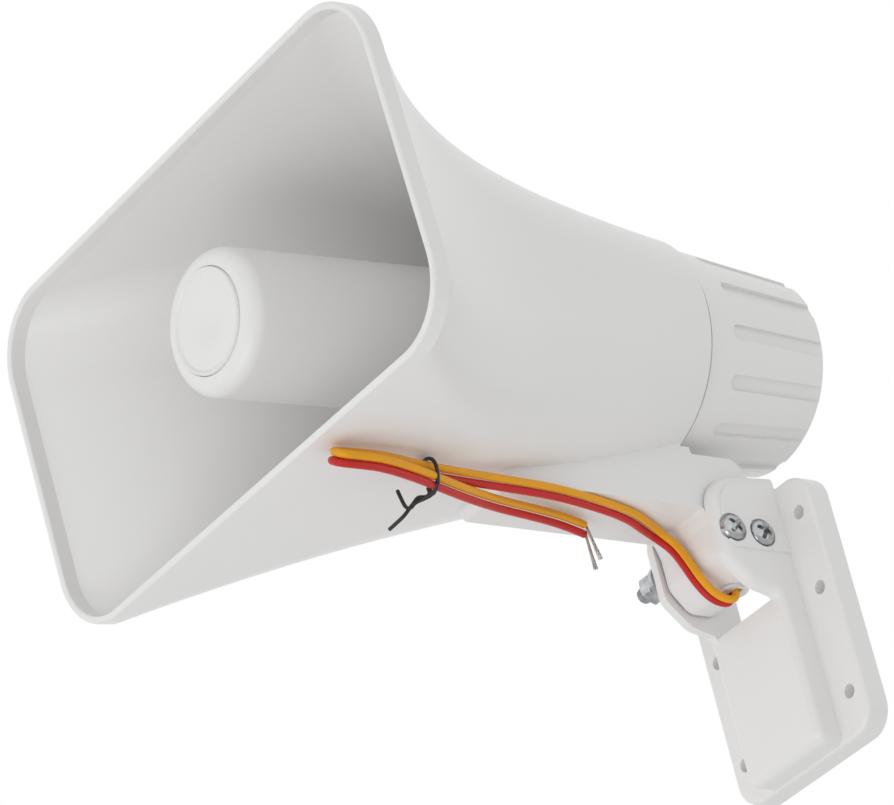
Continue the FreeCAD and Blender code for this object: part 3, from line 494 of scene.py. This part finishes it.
def screw_tree():
    """Threaded shank along -X from the head's seat, joined to the incoming head and set at two places."""
    sides = 32
    bench = ShapeTree("machine_screws", [
        ("Radius", "Float"), ("Pitch", "Float"), ("Thread Depth", "Float"), ("Length", "Float"),
        ("Rows", "Int"), ("Tip Chamfer", "Float")] + PLACE_SOCKETS)
    grid = bench.node("GeometryNodeMeshGrid", None, {
        "Size X": 1.0, "Size Y": 1.0, "Vertices X": bench.given["Rows"], "Vertices Y": sides + 1})
    spot = bench.node("GeometryNodeInputPosition")
    place = bench.node("ShaderNodeSeparateXYZ", None, {"Vector": spot.outputs[0]})
    share = Signal(bench, place.outputs["X"]) + 0.5
    angle = (Signal(bench, place.outputs["Y"]) + 0.5) * (2.0 * math.pi)
    along = share * bench.wanted("Length")
    phase = along / bench.wanted("Pitch") + angle / (2.0 * math.pi)
    flank = phase.triangle(0.5) * 2.0
    chamfer = bench.wanted("Tip Chamfer")
    tip = ((along - bench.wanted("Length") + chamfer) / chamfer).clamped()
    groove = flank * bench.wanted("Thread Depth") * (1.0 - tip * 0.6)
    radius = bench.wanted("Radius") - groove - tip * chamfer * 0.7
    ring = bench.node("ShaderNodeCombineXYZ", None, {
        "X": 0.0 - along, "Y": radius * angle.cosine(), "Z": radius * angle.sine()})
    shank = bench.node("GeometryNodeSetPosition", None, {
        "Geometry": grid.outputs[0], "Position": ring.outputs[0]})
    closed = bench.node("GeometryNodeMergeByDistance", None, {
        "Geometry": shank.outputs[0], "Distance": 0.00001})
    disc = bench.node("GeometryNodeMeshCircle", {"fill_type": "NGON"},
                      {"Vertices": sides, "Radius": bench.wanted("Radius") - chamfer * 0.9})
    end = bench.node("GeometryNodeTransform", None, {
        "Geometry": disc.outputs[0], "Rotation": (0.0, -math.pi / 2, 0.0),
        "Translation": bench.along_x(0.0 - bench.wanted("Length"))})
    bench.set_at_both(bench.joined(bench.given["Geometry"], closed.outputs[0], end.outputs[0]))
    return bench.tree


def strand_tree():
    """Twisted bare strands that leave a core's end and fan out slightly at the tip."""
    bench = ShapeTree("twisted_strands", [
        ("Strands", "Int"), ("Strand Radius", "Float"), ("Lay Radius", "Float"), ("Length", "Float"),
        ("Turns", "Float"), ("Fan", "Float"), ("Start", "Vector"), ("Along", "Vector"), ("Side", "Vector"),
        ("Across", "Vector"), ("Finish", "Material")])

    def moved_along(place, label, amount):
        step = bench.vectors("SCALE", {0: bench.given[label], "Scale": amount})
        return bench.vectors("ADD", {0: place, 1: step})

    line = bench.node("GeometryNodeCurvePrimitiveLine", {"mode": "POINTS"}, {
        "Start": (0, 0, 0), "End": (0, 0, 1)})
    fine = bench.node("GeometryNodeResampleCurve", {"mode": "COUNT"}, {"Curve": line.outputs[0], "Count": 34})
    many = bench.node("GeometryNodeDuplicateElements", {"domain": "SPLINE"},
                      {"Geometry": fine.outputs[0], "Amount": bench.given["Strands"]})
    number = Signal(bench, many.outputs[1])
    share = bench.signal("GeometryNodeSplineParameter")
    wobble = bench.signal("FunctionNodeRandomValue", {"data_type": "FLOAT"},
                          {2: 0.85, 3: 1.15, "ID": number, "Seed": 7}, output=1)
    outer = number.above(0.5)
    turn = number * (math.pi / 3.0) + share * bench.wanted("Turns") * (2.0 * math.pi)
    spread = (bench.wanted("Lay Radius") + share ** 3.0 * bench.wanted("Fan") * wobble) * outer
    reach = share * bench.wanted("Length") * (0.96 + wobble * 0.04)
    spine = moved_along(bench.given["Start"], "Along", reach)
    swung = moved_along(spine, "Side", spread * turn.cosine())
    bent = moved_along(swung, "Across", spread * turn.sine())
    moved = bench.node("GeometryNodeSetPosition", None, {"Geometry": many.outputs[0], "Position": bent})
    tube = bench.node("GeometryNodeCurveToMesh", None, {
        "Curve": moved.outputs[0], "Profile Curve": bench.circle(7, bench.given["Strand Radius"]),
        "Fill Caps": True})
    bench.end(tube.outputs[0], True)
    return bench.tree


def winding_tree():
    """Single layer of wire turns wound round the voice coil's former."""
    bench = ShapeTree("coil_turns", [
        ("Turns", "Int"), ("Coil Radius", "Float"), ("Wire Radius", "Float"), ("First Turn", "Vector"),
        ("Step", "Vector"), ("Finish", "Material")])
    rows = bench.node("GeometryNodeMeshLine", {"mode": "OFFSET"}, {
        "Count": bench.given["Turns"], "Start Location": bench.given["First Turn"],
        "Offset": bench.given["Step"]})
    turn = bench.node("GeometryNodeCurveToMesh", None, {
        "Curve": bench.circle(56, bench.given["Coil Radius"]),
        "Profile Curve": bench.circle(6, bench.given["Wire Radius"])})
    placed = bench.node("GeometryNodeInstanceOnPoints", None, {
        "Points": rows.outputs[0], "Instance": turn.outputs[0], "Rotation": (math.pi / 2, 0.0, 0.0)})
    bench.end(placed.outputs[0], True)
    return bench.tree


# Mesh makers

def finished_mesh(shell, name, angle):
    """Mesh of a shell with its normals outward, smooth below the angle in degrees."""
    bmesh.ops.recalc_face_normals(shell, faces=shell.faces)
    mesh = bpy.data.meshes.new(name)
    shell.to_mesh(mesh)
    shell.free()
    smooth_by_angle(mesh, angle)
    return mesh


def lathe_rows(rows, count, squash=None):
    """Closed surface round the X axis from rows of (x, radius); squash may move a point."""
    shell = bmesh.new()
    rings = []
    for x, radius in rows:
        ring = []
        for step in range(count):
            angle = 2.0 * math.pi * step / count
            spot = Vector((x, radius * math.cos(angle), radius * math.sin(angle)))
            ring.append(shell.verts.new(squash(spot, radius, angle) if squash else spot))
        rings.append(ring)
    for low, high in zip(rings, rings[1:]):
        for step in range(count):
            after = (step + 1) % count
            shell.faces.new((low[step], high[step], high[after], low[after]))
    return shell, rings


def lathe_on_bell(name, rows, droop):
    """Turned piece on the bell's drooping axis from rows of (y, radius) about the driver axis."""
    sides = 128
    shell = lathe_rows(rows, sides)[0]
    turn = Matrix.Rotation(droop, 4, "X") @ Matrix.Rotation(math.pi / 2, 4, "Z")
    bmesh.ops.transform(shell, matrix=Matrix.Translation(DRIVER_AXIS) @ turn, verts=shell.verts)
    bmesh.ops.remove_doubles(shell, verts=shell.verts, dist=1e-7)
    bmesh.ops.dissolve_degenerate(shell, edges=shell.edges, dist=1e-7)
    return new_object(name, finished_mesh(shell, name, 40))


def screw_head_mesh(radius, height, recess_reach, recess_half_width, recess_depth):
    """Pan head with a tapering cross recess; its seat is at x = 0."""
    flank = 0.30
    roundness = 2.5
    recess_start = 0.35
    edge_blend = 0.16
    steps = 47
    sides = 144
    rows = [(0.0, radius * 0.5), (0.0, radius * 0.97), (height * 0.03, radius), (height * flank, radius)]
    for step in range(1, steps):
        share = 1.0 - step / steps
        crown = (1.0 - share ** roundness) ** 0.5
        rows.append((height * (flank + (1.0 - flank) * crown), radius * share))
    rows.append((height, radius * 0.004))

    def cut(spot, distance, angle):
        if spot.x < height * recess_start or distance > recess_reach:
            return spot
        turned = angle + math.pi / 4
        first = abs(distance * math.cos(turned))
        second = abs(distance * math.sin(turned))
        across = min(first, second)
        along = max(first, second)
        taper = recess_half_width * (1.0 - 0.25 * along / recess_reach)
        inside = max(0.0, min(1.0, (taper - across) / (recess_half_width * edge_blend) + 0.5))
        depth = recess_depth * max(0.0, 1.0 - (along / recess_reach) ** 2.2)
        return Vector((spot.x - depth * inside, spot.y, spot.z))

    shell, rings = lathe_rows(rows, sides, cut)
    shell.faces.new(rings[-1])
    return finished_mesh(shell, "screw_head", 35)


def hex_nut_mesh(across_flats, height, bore):
    """Hexagon nut with chamfered corners and bore mouths, from x = 0 to -height."""
    flat = across_flats / 2
    sides = 96

    def to_hexagon(spot, radius, angle):
        if radius < flat * 1.02:
            return spot
        wrapped = (angle + math.pi / 6) % (math.pi / 3) - math.pi / 6
        reach = flat / math.cos(wrapped)
        drop = max(0.0, reach - flat * 0.99) * 0.6
        inwards = drop if abs(spot.x) < height / 2 else -drop
        return Vector((spot.x - inwards, reach * math.cos(angle), reach * math.sin(angle)))

    lead_in = 0.12 * height
    wide_bore = bore * 1.12
    face = flat * 0.985
    beyond = flat * 1.1
    skin = 0.0001 * flat
    rows = [(-lead_in, bore), (0.0, wide_bore), (0.0, face), (-skin, beyond), (skin - height, beyond),
            (-height, face), (-height, wide_bore), (lead_in - height, bore), (-lead_in, bore)]
    shell = lathe_rows(rows, sides, to_hexagon)[0]
    bmesh.ops.remove_doubles(shell, verts=shell.verts, dist=1e-6)
    return finished_mesh(shell, "hex_nut", 25)


def spring_washer_mesh(inner, outer, thickness, rise, gap_angle):
    """Split ring whose two ends stand apart along X."""
    shell = bmesh.new()
    count = 72
    sections = []
    edge = 0.0002
    outline = ((inner, 0.08), (inner, 0.92), (inner + edge, 1.0), (outer - edge, 1.0),
               (outer, 0.92), (outer, 0.08), (outer - edge, 0.0), (inner + edge, 0.0))
    for step in range(count + 1):
        share = step / count
        angle = gap_angle / 2 + (2.0 * math.pi - gap_angle) * share
        lift = rise * (share - 0.5)
        sections.append([shell.verts.new((
            lift - thickness * depth, radius * math.cos(angle), radius * math.sin(angle)))
            for radius, depth in outline])
    for low, high in zip(sections, sections[1:]):
        for step in range(len(outline)):
            after = (step + 1) % len(outline)
            shell.faces.new((low[step], low[after], high[after], high[step]))
    shell.faces.new(sections[0])
    shell.faces.new(sections[-1])
    return finished_mesh(shell, "split_washer", 35)


def route_curve(name, points, radius, closed=False):
    """Round tube on one smooth NURBS line; points are about the driver axis, in metres."""
    curve = bpy.data.curves.new(name, "CURVE")
    curve.dimensions = "3D"
    curve.resolution_u = 10
    curve.bevel_depth = radius
    curve.bevel_resolution = 5
    curve.use_fill_caps = True
    spline = curve.splines.new("NURBS")
    spline.points.add(len(points) - 1)
    for knot, spot in zip(spline.points, points):
        knot.co = tuple(Vector(spot) + DRIVER_AXIS) + (1.0,)
    spline.order_u = 3
    if closed:
        spline.use_cyclic_u = True
    else:
        spline.use_endpoint_u = True
    return new_object(name, curve)


# Settings

class HornLook(bpy.types.PropertyGroup):
    """Colours and gloss of the horn."""
    shell_colour: FloatVectorProperty(
        name="Shell Colour", description="Colour of the bell, cap, cup and bracket", subtype="COLOR",
        size=3, min=0.0, max=1.0, default=(0.885, 0.880, 0.872))
    shell_roughness: FloatProperty(
        name="Shell Roughness", description="Gloss of the white mouldings", subtype="FACTOR",
        min=0.05, max=1.0, default=0.35)
    yellow_colour: FloatVectorProperty(
        name="Yellow Core", description="Colour of the yellow core", subtype="COLOR",
        size=3, min=0.0, max=1.0, default=(0.90, 0.40, 0.008))
    red_colour: FloatVectorProperty(
        name="Red Core", description="Colour of the red core", subtype="COLOR",
        size=3, min=0.0, max=1.0, default=(0.62, 0.024, 0.022))


class HornCup(bpy.types.PropertyGroup):
    """Sizes of the reflector cup and the disc in its front."""
    bell_length: FloatProperty(
        name="Bell Length", description="From the collar's back edge to the mouth", unit="LENGTH",
        default=0.1827)
    bell_droop: FloatProperty(
        name="Bell Droop", description="Angle of the bell below the driver axis", unit="ROTATION",
        default=math.radians(3.4))
    cup_radius: FloatProperty(
        name="Cup Radius", description="Outer radius of the cup", unit="LENGTH", default=0.0246)
    cup_wall: FloatProperty(
        name="Cup Wall", description="Thickness of the cup", unit="LENGTH", default=0.0022)
    cup_length: FloatProperty(
        name="Cup Length", description="Depth of the cup from the mouth", unit="LENGTH", default=0.104)
    front_round: FloatProperty(
        name="Front Round", description="Rounding of the cup's front edge", unit="LENGTH", default=0.006)
    insert_radius: FloatProperty(
        name="Insert Radius", description="Radius of the disc in the cup", unit="LENGTH", default=0.0178)
    insert_thickness: FloatProperty(
        name="Insert Thickness", description="Thickness of the disc", unit="LENGTH", default=0.003)
    dimple_radius: FloatProperty(
        name="Dimple Radius", description="Radius of the disc's dimple", unit="LENGTH", default=0.0115)
    dimple_depth: FloatProperty(
        name="Dimple Depth", description="Depth of the disc's dimple", unit="LENGTH", default=0.0021)


class HornFasteners(bpy.types.PropertyGroup):
    """Sizes of the two bracket screws and their nuts."""
    screw_radius: FloatProperty(
        name="Screw Radius", description="Outer radius of the thread", unit="LENGTH", default=0.0030)
    thread_pitch: FloatProperty(
        name="Thread Pitch", description="Distance between thread crests", unit="LENGTH", default=0.0010)
    thread_depth: FloatProperty(
        name="Thread Depth", description="Depth of the thread", unit="LENGTH", default=0.00052)
    head_radius: FloatProperty(
        name="Head Radius", description="Radius of the pan head", unit="LENGTH", default=0.0048)
    head_height: FloatProperty(
        name="Head Height", description="Height of the pan head", unit="LENGTH", default=0.0036)
    recess_reach: FloatProperty(
        name="Recess Reach", description="Reach of the cross recess's arms", unit="LENGTH", default=0.0034)
    recess_half_width: FloatProperty(
        name="Recess Half Width", description="Half the width of an arm", unit="LENGTH", default=0.00085)
    recess_depth: FloatProperty(
        name="Recess Depth", description="Depth of the cross recess", unit="LENGTH", default=0.0022)
    nut_across_flats: FloatProperty(
        name="Nut Width", description="Width across the nut's flats", unit="LENGTH", default=0.0100)


class HornLead(bpy.types.PropertyGroup):
    """Sizes of the twin lead, its bare ends and the tie."""
    core_radius: FloatProperty(
        name="Core Radius", description="Radius of one insulated core", unit="LENGTH", default=0.00135)
    strand_count: IntProperty(
        name="Strands", description="Bare strands in each core", min=1, max=19, default=7)
    strand_radius: FloatProperty(
        name="Strand Radius", description="Radius of one bare strand", unit="LENGTH", default=0.00018)
    bare_length: FloatProperty(
        name="Bare Length", description="Length of the stripped ends", unit="LENGTH", default=0.0130)
    tie_radius: FloatProperty(
        name="Tie Radius", description="Radius of the coated tie wire", unit="LENGTH", default=0.00065)


class HornStage(bpy.types.PropertyGroup):
    """Light, floor and camera."""
    floor_height: FloatProperty(
        name="Floor Height", description="Height of the floor under the horn", unit="LENGTH", default=-0.78)
    floor_colour: FloatVectorProperty(
        name="Floor Colour", description="Colour of the studio floor", subtype="COLOR",
        size=3, min=0.0, max=1.0, default=(0.86, 0.86, 0.86))
    room_light: FloatProperty(
        name="Room Light", description="Even light from all sides", min=0.0, max=2.0, default=0.725)
    key_power: FloatProperty(
        name="Key Light", description="Power of the main lamp", unit="POWER", default=0.8)
    fill_power: FloatProperty(
        name="Fill Light", description="Power of the low fill lamp", unit="POWER", default=3.6)
    focal_length: FloatProperty(
        name="Focal Length", description="Camera lens", unit="CAMERA", default=182.636)


# Operators

class HORN_OT_stage(bpy.types.Operator):
    """Make the floor, the plain background, the lamps and the camera"""
    bl_idname = "horn.stage"
    bl_label = "Stage"

    def execute(self, context):
        stage = context.scene.horn_stage
        context.scene.view_settings.view_transform = "Standard"
        self.set_camera(context, stage)
        self.set_world(context, stage)
        self.add_lamp("key_lamp", KEY_LAMP, stage.key_power)
        self.add_lamp("fill_lamp", FILL_LAMP, stage.fill_power)
        self.lay_floor(stage)
        return {"FINISHED"}

    def set_camera(self, context, stage):
        data = bpy.data.cameras.new("photo_view")
        data.lens = stage.focal_length
        data.sensor_width = 36.0
        data.sensor_fit = "HORIZONTAL"
        data.clip_start = 0.05
        data.clip_end = 50.0
        camera = new_object("photo_view", data)
        camera.location = CAMERA_PLACE + DRIVER_AXIS
        camera.rotation_euler = CAMERA_TURN
        context.scene.camera = camera

    def set_world(self, context, stage):
        world = bpy.data.worlds.new("studio")
        world.use_nodes = True
        context.scene.world = world
        bench = Bench(world.node_tree)
        path = bench.node("ShaderNodeLightPath")
        seen = Signal(bench, path.outputs["Is Camera Ray"]) + Signal(bench, path.outputs["Is Glossy Ray"])
        seen = (seen + Signal(bench, path.outputs["Is Transmission Ray"])).clamped()
        white = (1.0, 1.0, 1.0)
        soft = bench.node("ShaderNodeBackground", None, {"Color": white, "Strength": stage.room_light})
        plain = bench.node("ShaderNodeBackground", None, {"Color": white, "Strength": 1.0})
        both = bench.node("ShaderNodeMixShader", None, {0: seen, 1: soft.outputs[0], 2: plain.outputs[0]})
        bench.node("ShaderNodeOutputWorld", None, {"Surface": both.outputs[0]})

    def add_lamp(self, name, stand, power):
        place, size = stand
        data = bpy.data.lights.new(name, "AREA")
        data.size = size
        data.energy = power
        lamp = new_object(name, data)
        lamp.location = place
        lamp.rotation_euler = (LAMP_TARGET - Vector(place)).to_track_quat("-Z", "Y").to_euler()

    def lay_floor(self, stage):
        ground = bmesh.new()
        bmesh.ops.create_grid(ground, x_segments=8, y_segments=8, size=4.0)
        for corner in ground.verts:
            corner.co.z = stage.floor_height
        mesh = bpy.data.meshes.new("studio_floor")
        ground.to_mesh(mesh)
        ground.free()
        mesh.materials.append(studio_floor("studio_floor", stage.floor_colour))
        new_object("studio_floor", mesh)


class HORN_OT_finishes(bpy.types.Operator):
    """Mix the finish of every material slot"""
    bl_idname = "horn.finishes"
    bl_label = "Finishes"

    def execute(self, context):
        mix_finishes(context.scene.horn_look)
        return {"FINISHED"}


class HORN_OT_housing(bpy.types.Operator):
    """Dress the bell, the rear cap, the seal and the grommet"""
    bl_idname = "horn.housing"
    bl_label = "Bell And Cap"

    def execute(self, context):
        dress(["horn_bell", "rear_cap", "cap_seal", "exit_grommet"])
        return {"FINISHED"}


class HORN_OT_reflector(bpy.types.Operator):
    """Turn the reflector cup and the disc in its front, and dress the throat horn"""
    bl_idname = "horn.reflector"
    bl_label = "Cup And Throat"

    def execute(self, context):
        dress(["throat_horn"])
        sizes = context.scene.horn_cup
        front = -sizes.bell_length
        cup = lathe_on_bell("reflector_shell", self.cup_rows(sizes, front), sizes.bell_droop)
        put_on(cup, "horn", "white_abs", "reflector_cup")
        disc = lathe_on_bell("cup_disc", self.disc_rows(sizes, front), sizes.bell_droop)
        put_on(disc, "horn", "white_abs", "cup_insert")
        return {"FINISHED"}

    def cup_rows(self, sizes, front):
        """Outline of the cup, from the ledge behind the disc round the front edge to the back."""
        back = front + sizes.cup_length
        inner = sizes.cup_radius - sizes.cup_wall
        seat = front + sizes.insert_thickness
        clearance = 0.00015
        hole = sizes.insert_radius + clearance
        ledge = hole - 0.0025
        chamfer = 0.003
        edge = 0.00035
        bends = 18
        rings = 12
        rows = [(seat + sizes.cup_wall, ledge), (seat, ledge), (seat, hole), (front + edge, hole)]
        rows += [(front + edge * 0.3, hole + edge * 0.3), (front, hole + edge)]
        middle_radius = sizes.cup_radius - sizes.front_round
        for step in range(bends + 1):
            angle = math.radians(90.0 * step / bends)
            rows.append((front + sizes.front_round * (1.0 - math.cos(angle)),
                         middle_radius + sizes.front_round * math.sin(angle)))
        straight = sizes.cup_length - sizes.front_round - edge
        for step in range(1, rings + 1):
            rows.append((front + sizes.front_round + straight * step / rings, sizes.cup_radius))
        rows += [(back, sizes.cup_radius - edge), (back, inner + edge), (back - edge, inner)]
        rows += [(seat + sizes.cup_wall + chamfer, inner), (seat + sizes.cup_wall, inner - chamfer)]
        return rows + [rows[0]]

    def disc_rows(self, sizes, front):
        """Outline of the disc: its back, the raised ring at its edge and the dimple's soft curve."""
        back = front + sizes.insert_thickness
        radius = sizes.insert_radius
        flat_edge = 0.004
        rings = 16
        rows = [(back, 0.0), (back, radius)]
        for height, inset in DISC_RING:
            rows.append((front - height, radius - inset))
        rows.append((front, radius - flat_edge))
        for step in range(rings + 1):
            share = 1.0 - step / rings
            sink = 0.5 + 0.5 * math.cos(math.pi * share)
            rows.append((front + sizes.dimple_depth * sink, sizes.dimple_radius * share))
        return rows


class HORN_OT_bracket(bpy.types.Operator):
    """Dress the wall bracket and the flat washers"""
    bl_idname = "horn.bracket"
    bl_label = "Bracket"

    def execute(self, context):
        dress(["bracket_base", "pivot_washer", "clamp_washer"])
        return {"FINISHED"}


class HORN_OT_screws(bpy.types.Operator):
    """Make the two cross-recess screws with their threads"""
    bl_idname = "horn.screws"
    bl_label = "Bracket Screws"

    def execute(self, context):
        sizes = context.scene.horn_fasteners
        low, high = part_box("pivot_bolt")
        seat = high.x - sizes.head_height
        pivot = middle("pivot_bolt")
        clamp = middle("clamp_bolt")
        screws = new_object("bracket_screws", screw_head_mesh(
            sizes.head_radius, sizes.head_height, sizes.recess_reach, sizes.recess_half_width,
            sizes.recess_depth))
        length = seat - low.x
        run_tree(screws, screw_tree(), {
            "Radius": sizes.screw_radius, "Pitch": sizes.thread_pitch, "Thread Depth": sizes.thread_depth,
            "Length": length, "Rows": int(length / sizes.thread_pitch * 8) + 1, "Tip Chamfer": 0.0006,
            "Pivot Place": (seat, pivot.y, pivot.z), "Clamp Place": (seat, clamp.y, clamp.z),
            "Clamp Turn": math.radians(17.0), "Finish": FINISHES["zinc_steel"]})
        put_on(screws, "bracket", "zinc_steel", "pivot_bolt", "clamp_bolt")
        return {"FINISHED"}


class HORN_OT_nuts(bpy.types.Operator):
    """Make the hexagon nuts and the split washers on the far side"""
    bl_idname = "horn.nuts"
    bl_label = "Nuts And Split Washers"

    def execute(self, context):
        sizes = context.scene.horn_fasteners
        tree = pair_tree()
        pivot = middle("pivot_nut")
        clamp = middle("clamp_nut")
        low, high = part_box("pivot_nut")
        nuts = new_object("bracket_nuts", hex_nut_mesh(
            sizes.nut_across_flats, high.x - low.x, sizes.screw_radius))
        run_tree(nuts, tree, {
            "Pivot Place": (high.x, pivot.y, pivot.z), "Clamp Place": (high.x, clamp.y, clamp.z),
            "Clamp Turn": math.radians(24.0), "Finish": FINISHES["zinc_steel"]})
        put_on(nuts, "bracket", "zinc_steel", "pivot_nut", "clamp_nut")
        low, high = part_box("pivot_spring_washer")
        width = high.x - low.x
        rise = width * 0.14
        split = new_object("split_washers", spring_washer_mesh(
            sizes.screw_radius * 1.03, (high.z - low.z) / 2, width - rise, rise, math.radians(13.0)))
        run_tree(split, tree, {
            "Pivot Place": (high.x - rise / 2, pivot.y, pivot.z),
            "Clamp Place": (high.x - rise / 2, clamp.y, clamp.z),
            "Clamp Turn": math.radians(140.0), "Finish": FINISHES["zinc_steel"]})
        put_on(split, "bracket", "zinc_steel", "pivot_spring_washer", "clamp_spring_washer")
        return {"FINISHED"}


class HORN_OT_lead(bpy.types.Operator):
    """Make the twin lead, its stripped ends and the wire tie"""
    bl_idname = "horn.lead"
    bl_label = "Lead And Tie"

    def execute(self, context):
        sizes = context.scene.horn_lead
        tie = self.make_tie(sizes)
        for colour, route, far in (("yellow", YELLOW_ROUTE, True), ("red", RED_ROUTE, False)):
            core = route_curve("core_" + colour, route, sizes.core_radius)
            put_on(core, "horn", colour + "_pvc", "lead_" + colour)
            strands = self.strip_end(sizes, "strands_" + colour, "bare_end_" + colour)
        return {"FINISHED"}

    def strip_end(self, sizes, name, node):
        reach = sizes.bare_length
        lean = 0.22 if node.endswith("yellow") else 0.05
        lay_spread = 1.95
        along = Vector((0.0, lean, -1.0)).normalized()
        side = Vector((1.0, 0.0, 0.0))
        across = along.cross(side)
        start = middle(node) - along * reach / 2
        strands = new_object(name, bpy.data.meshes.new(name))
        run_tree(strands, strand_tree(), {
            "Strands": sizes.strand_count, "Strand Radius": sizes.strand_radius,
            "Lay Radius": sizes.strand_radius * lay_spread, "Length": reach, "Turns": 1.6, "Fan": 0.0004,
            "Start": start, "Along": along, "Side": side, "Across": across,
            "Finish": FINISHES["tinned_copper"]})
        put_on(strands, "horn", "tinned_copper", node)
        return strands

    def make_tie(self, sizes):
        """Loop round the folded lead and the two tails of its knot, joined into one mesh."""
        parts = [
            route_curve("tie_loop", TIE_LOOP, sizes.tie_radius, True),
            route_curve("tie_first_tail", TIE_FIRST_TAIL, sizes.tie_radius),
            route_curve("tie_second_tail", TIE_SECOND_TAIL, sizes.tie_radius)]
        bpy.context.view_layer.update()
        graph = bpy.context.evaluated_depsgraph_get()
        joined = bmesh.new()
        for part in parts:
            piece = bpy.data.meshes.new_from_object(part.evaluated_get(graph))
            joined.from_mesh(piece)
            bpy.data.meshes.remove(piece)
            bpy.data.objects.remove(part)
        mesh = bpy.data.meshes.new("wire_tie")
        joined.to_mesh(mesh)
        joined.free()
        smooth_by_angle(mesh, 60)
        mesh.materials.clear()
        tie = new_object("wire_tie", mesh)
        put_on(tie, "horn", "black_plastic", "lead_tie")
        return tie


class HORN_OT_driver(bpy.types.Operator):
    """Dress the driver's parts and wind the voice coil"""
    bl_idname = "horn.driver"
    bl_label = "Driver"

    def execute(self, context):
        dress(["driver_gasket", "diaphragm_ring", "surround", "diaphragm", "voice_coil", "top_plate",
               "magnet", "back_plate", "driver_screws", "drive_wires"])
        low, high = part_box("voice_coil")
        centre = middle("voice_coil")
        end_gap = 0.0003
        lift = 0.00008
        last = high.y - end_gap
        winding = new_object("coil_winding", bpy.data.meshes.new("coil_winding"))
        run_tree(winding, winding_tree(), {
            "Turns": COIL_TURNS, "Coil Radius": (high.x - low.x) / 2 + lift,
            "Wire Radius": COIL_WIRE_RADIUS,
            "First Turn": (centre.x, last - COIL_PITCH * (COIL_TURNS - 1), centre.z),
            "Step": (0.0, COIL_PITCH, 0.0),
            "Finish": FINISHES["copper_wire"]})
        put_on(winding, "cone", "copper_wire")
        return {"FINISHED"}


class HORN_OT_siren_board(bpy.types.Operator):
    """Dress the siren board, its parts and the wires inside"""
    bl_idname = "horn.siren_board"
    bl_label = "Siren Board"

    def execute(self, context):
        dress(["circuit_board", "board_screws", "sound_chip", "capacitor", "power_transistor", "resistors",
               "inner_lead_yellow", "inner_lead_red"])
        return {"FINISHED"}


class HORN_PT_panel(bpy.types.Panel):
    """Lists the steps that make the horn"""
    bl_label = "Alarm Horn Speaker"
    bl_space_type = "VIEW_3D"
    bl_region_type = "UI"
    bl_category = "Horn"

    def draw(self, context):
        for step in STEPS:
            self.layout.operator(step.bl_idname)
        for label, group in GROUPS:
            box = self.layout.box()
            settings = getattr(context.scene, label)
            for name in settings.bl_rna.properties.keys():
                if name not in {"rna_type", "name"}:
                    box.prop(settings, name)


GROUPS = (("horn_look", HornLook), ("horn_cup", HornCup), ("horn_fasteners", HornFasteners),
          ("horn_lead", HornLead), ("horn_stage", HornStage))
STEPS = (HORN_OT_stage, HORN_OT_finishes, HORN_OT_lead, HORN_OT_housing, HORN_OT_reflector, HORN_OT_bracket,
         HORN_OT_screws, HORN_OT_nuts, HORN_OT_driver, HORN_OT_siren_board)


def register():
    for label, group in GROUPS:
        bpy.utils.register_class(group)
        setattr(bpy.types.Scene, label, PointerProperty(type=group))
    for step in STEPS:
        bpy.utils.register_class(step)
    bpy.utils.register_class(HORN_PT_panel)


def unregister():
    bpy.utils.unregister_class(HORN_PT_panel)
    for step in reversed(STEPS):
        bpy.utils.unregister_class(step)
    for label, group in reversed(GROUPS):
        delattr(bpy.types.Scene, label)
        bpy.utils.unregister_class(group)


def main():
    register()
    bpy.ops.horn.stage()
    bpy.ops.horn.finishes()
    bpy.ops.horn.lead()
    bpy.ops.horn.housing()
    bpy.ops.horn.reflector()
    bpy.ops.horn.bracket()
    bpy.ops.horn.screws()
    bpy.ops.horn.nuts()
    bpy.ops.horn.driver()
    bpy.ops.horn.siren_board()


if __name__ == "__main__":
    main()
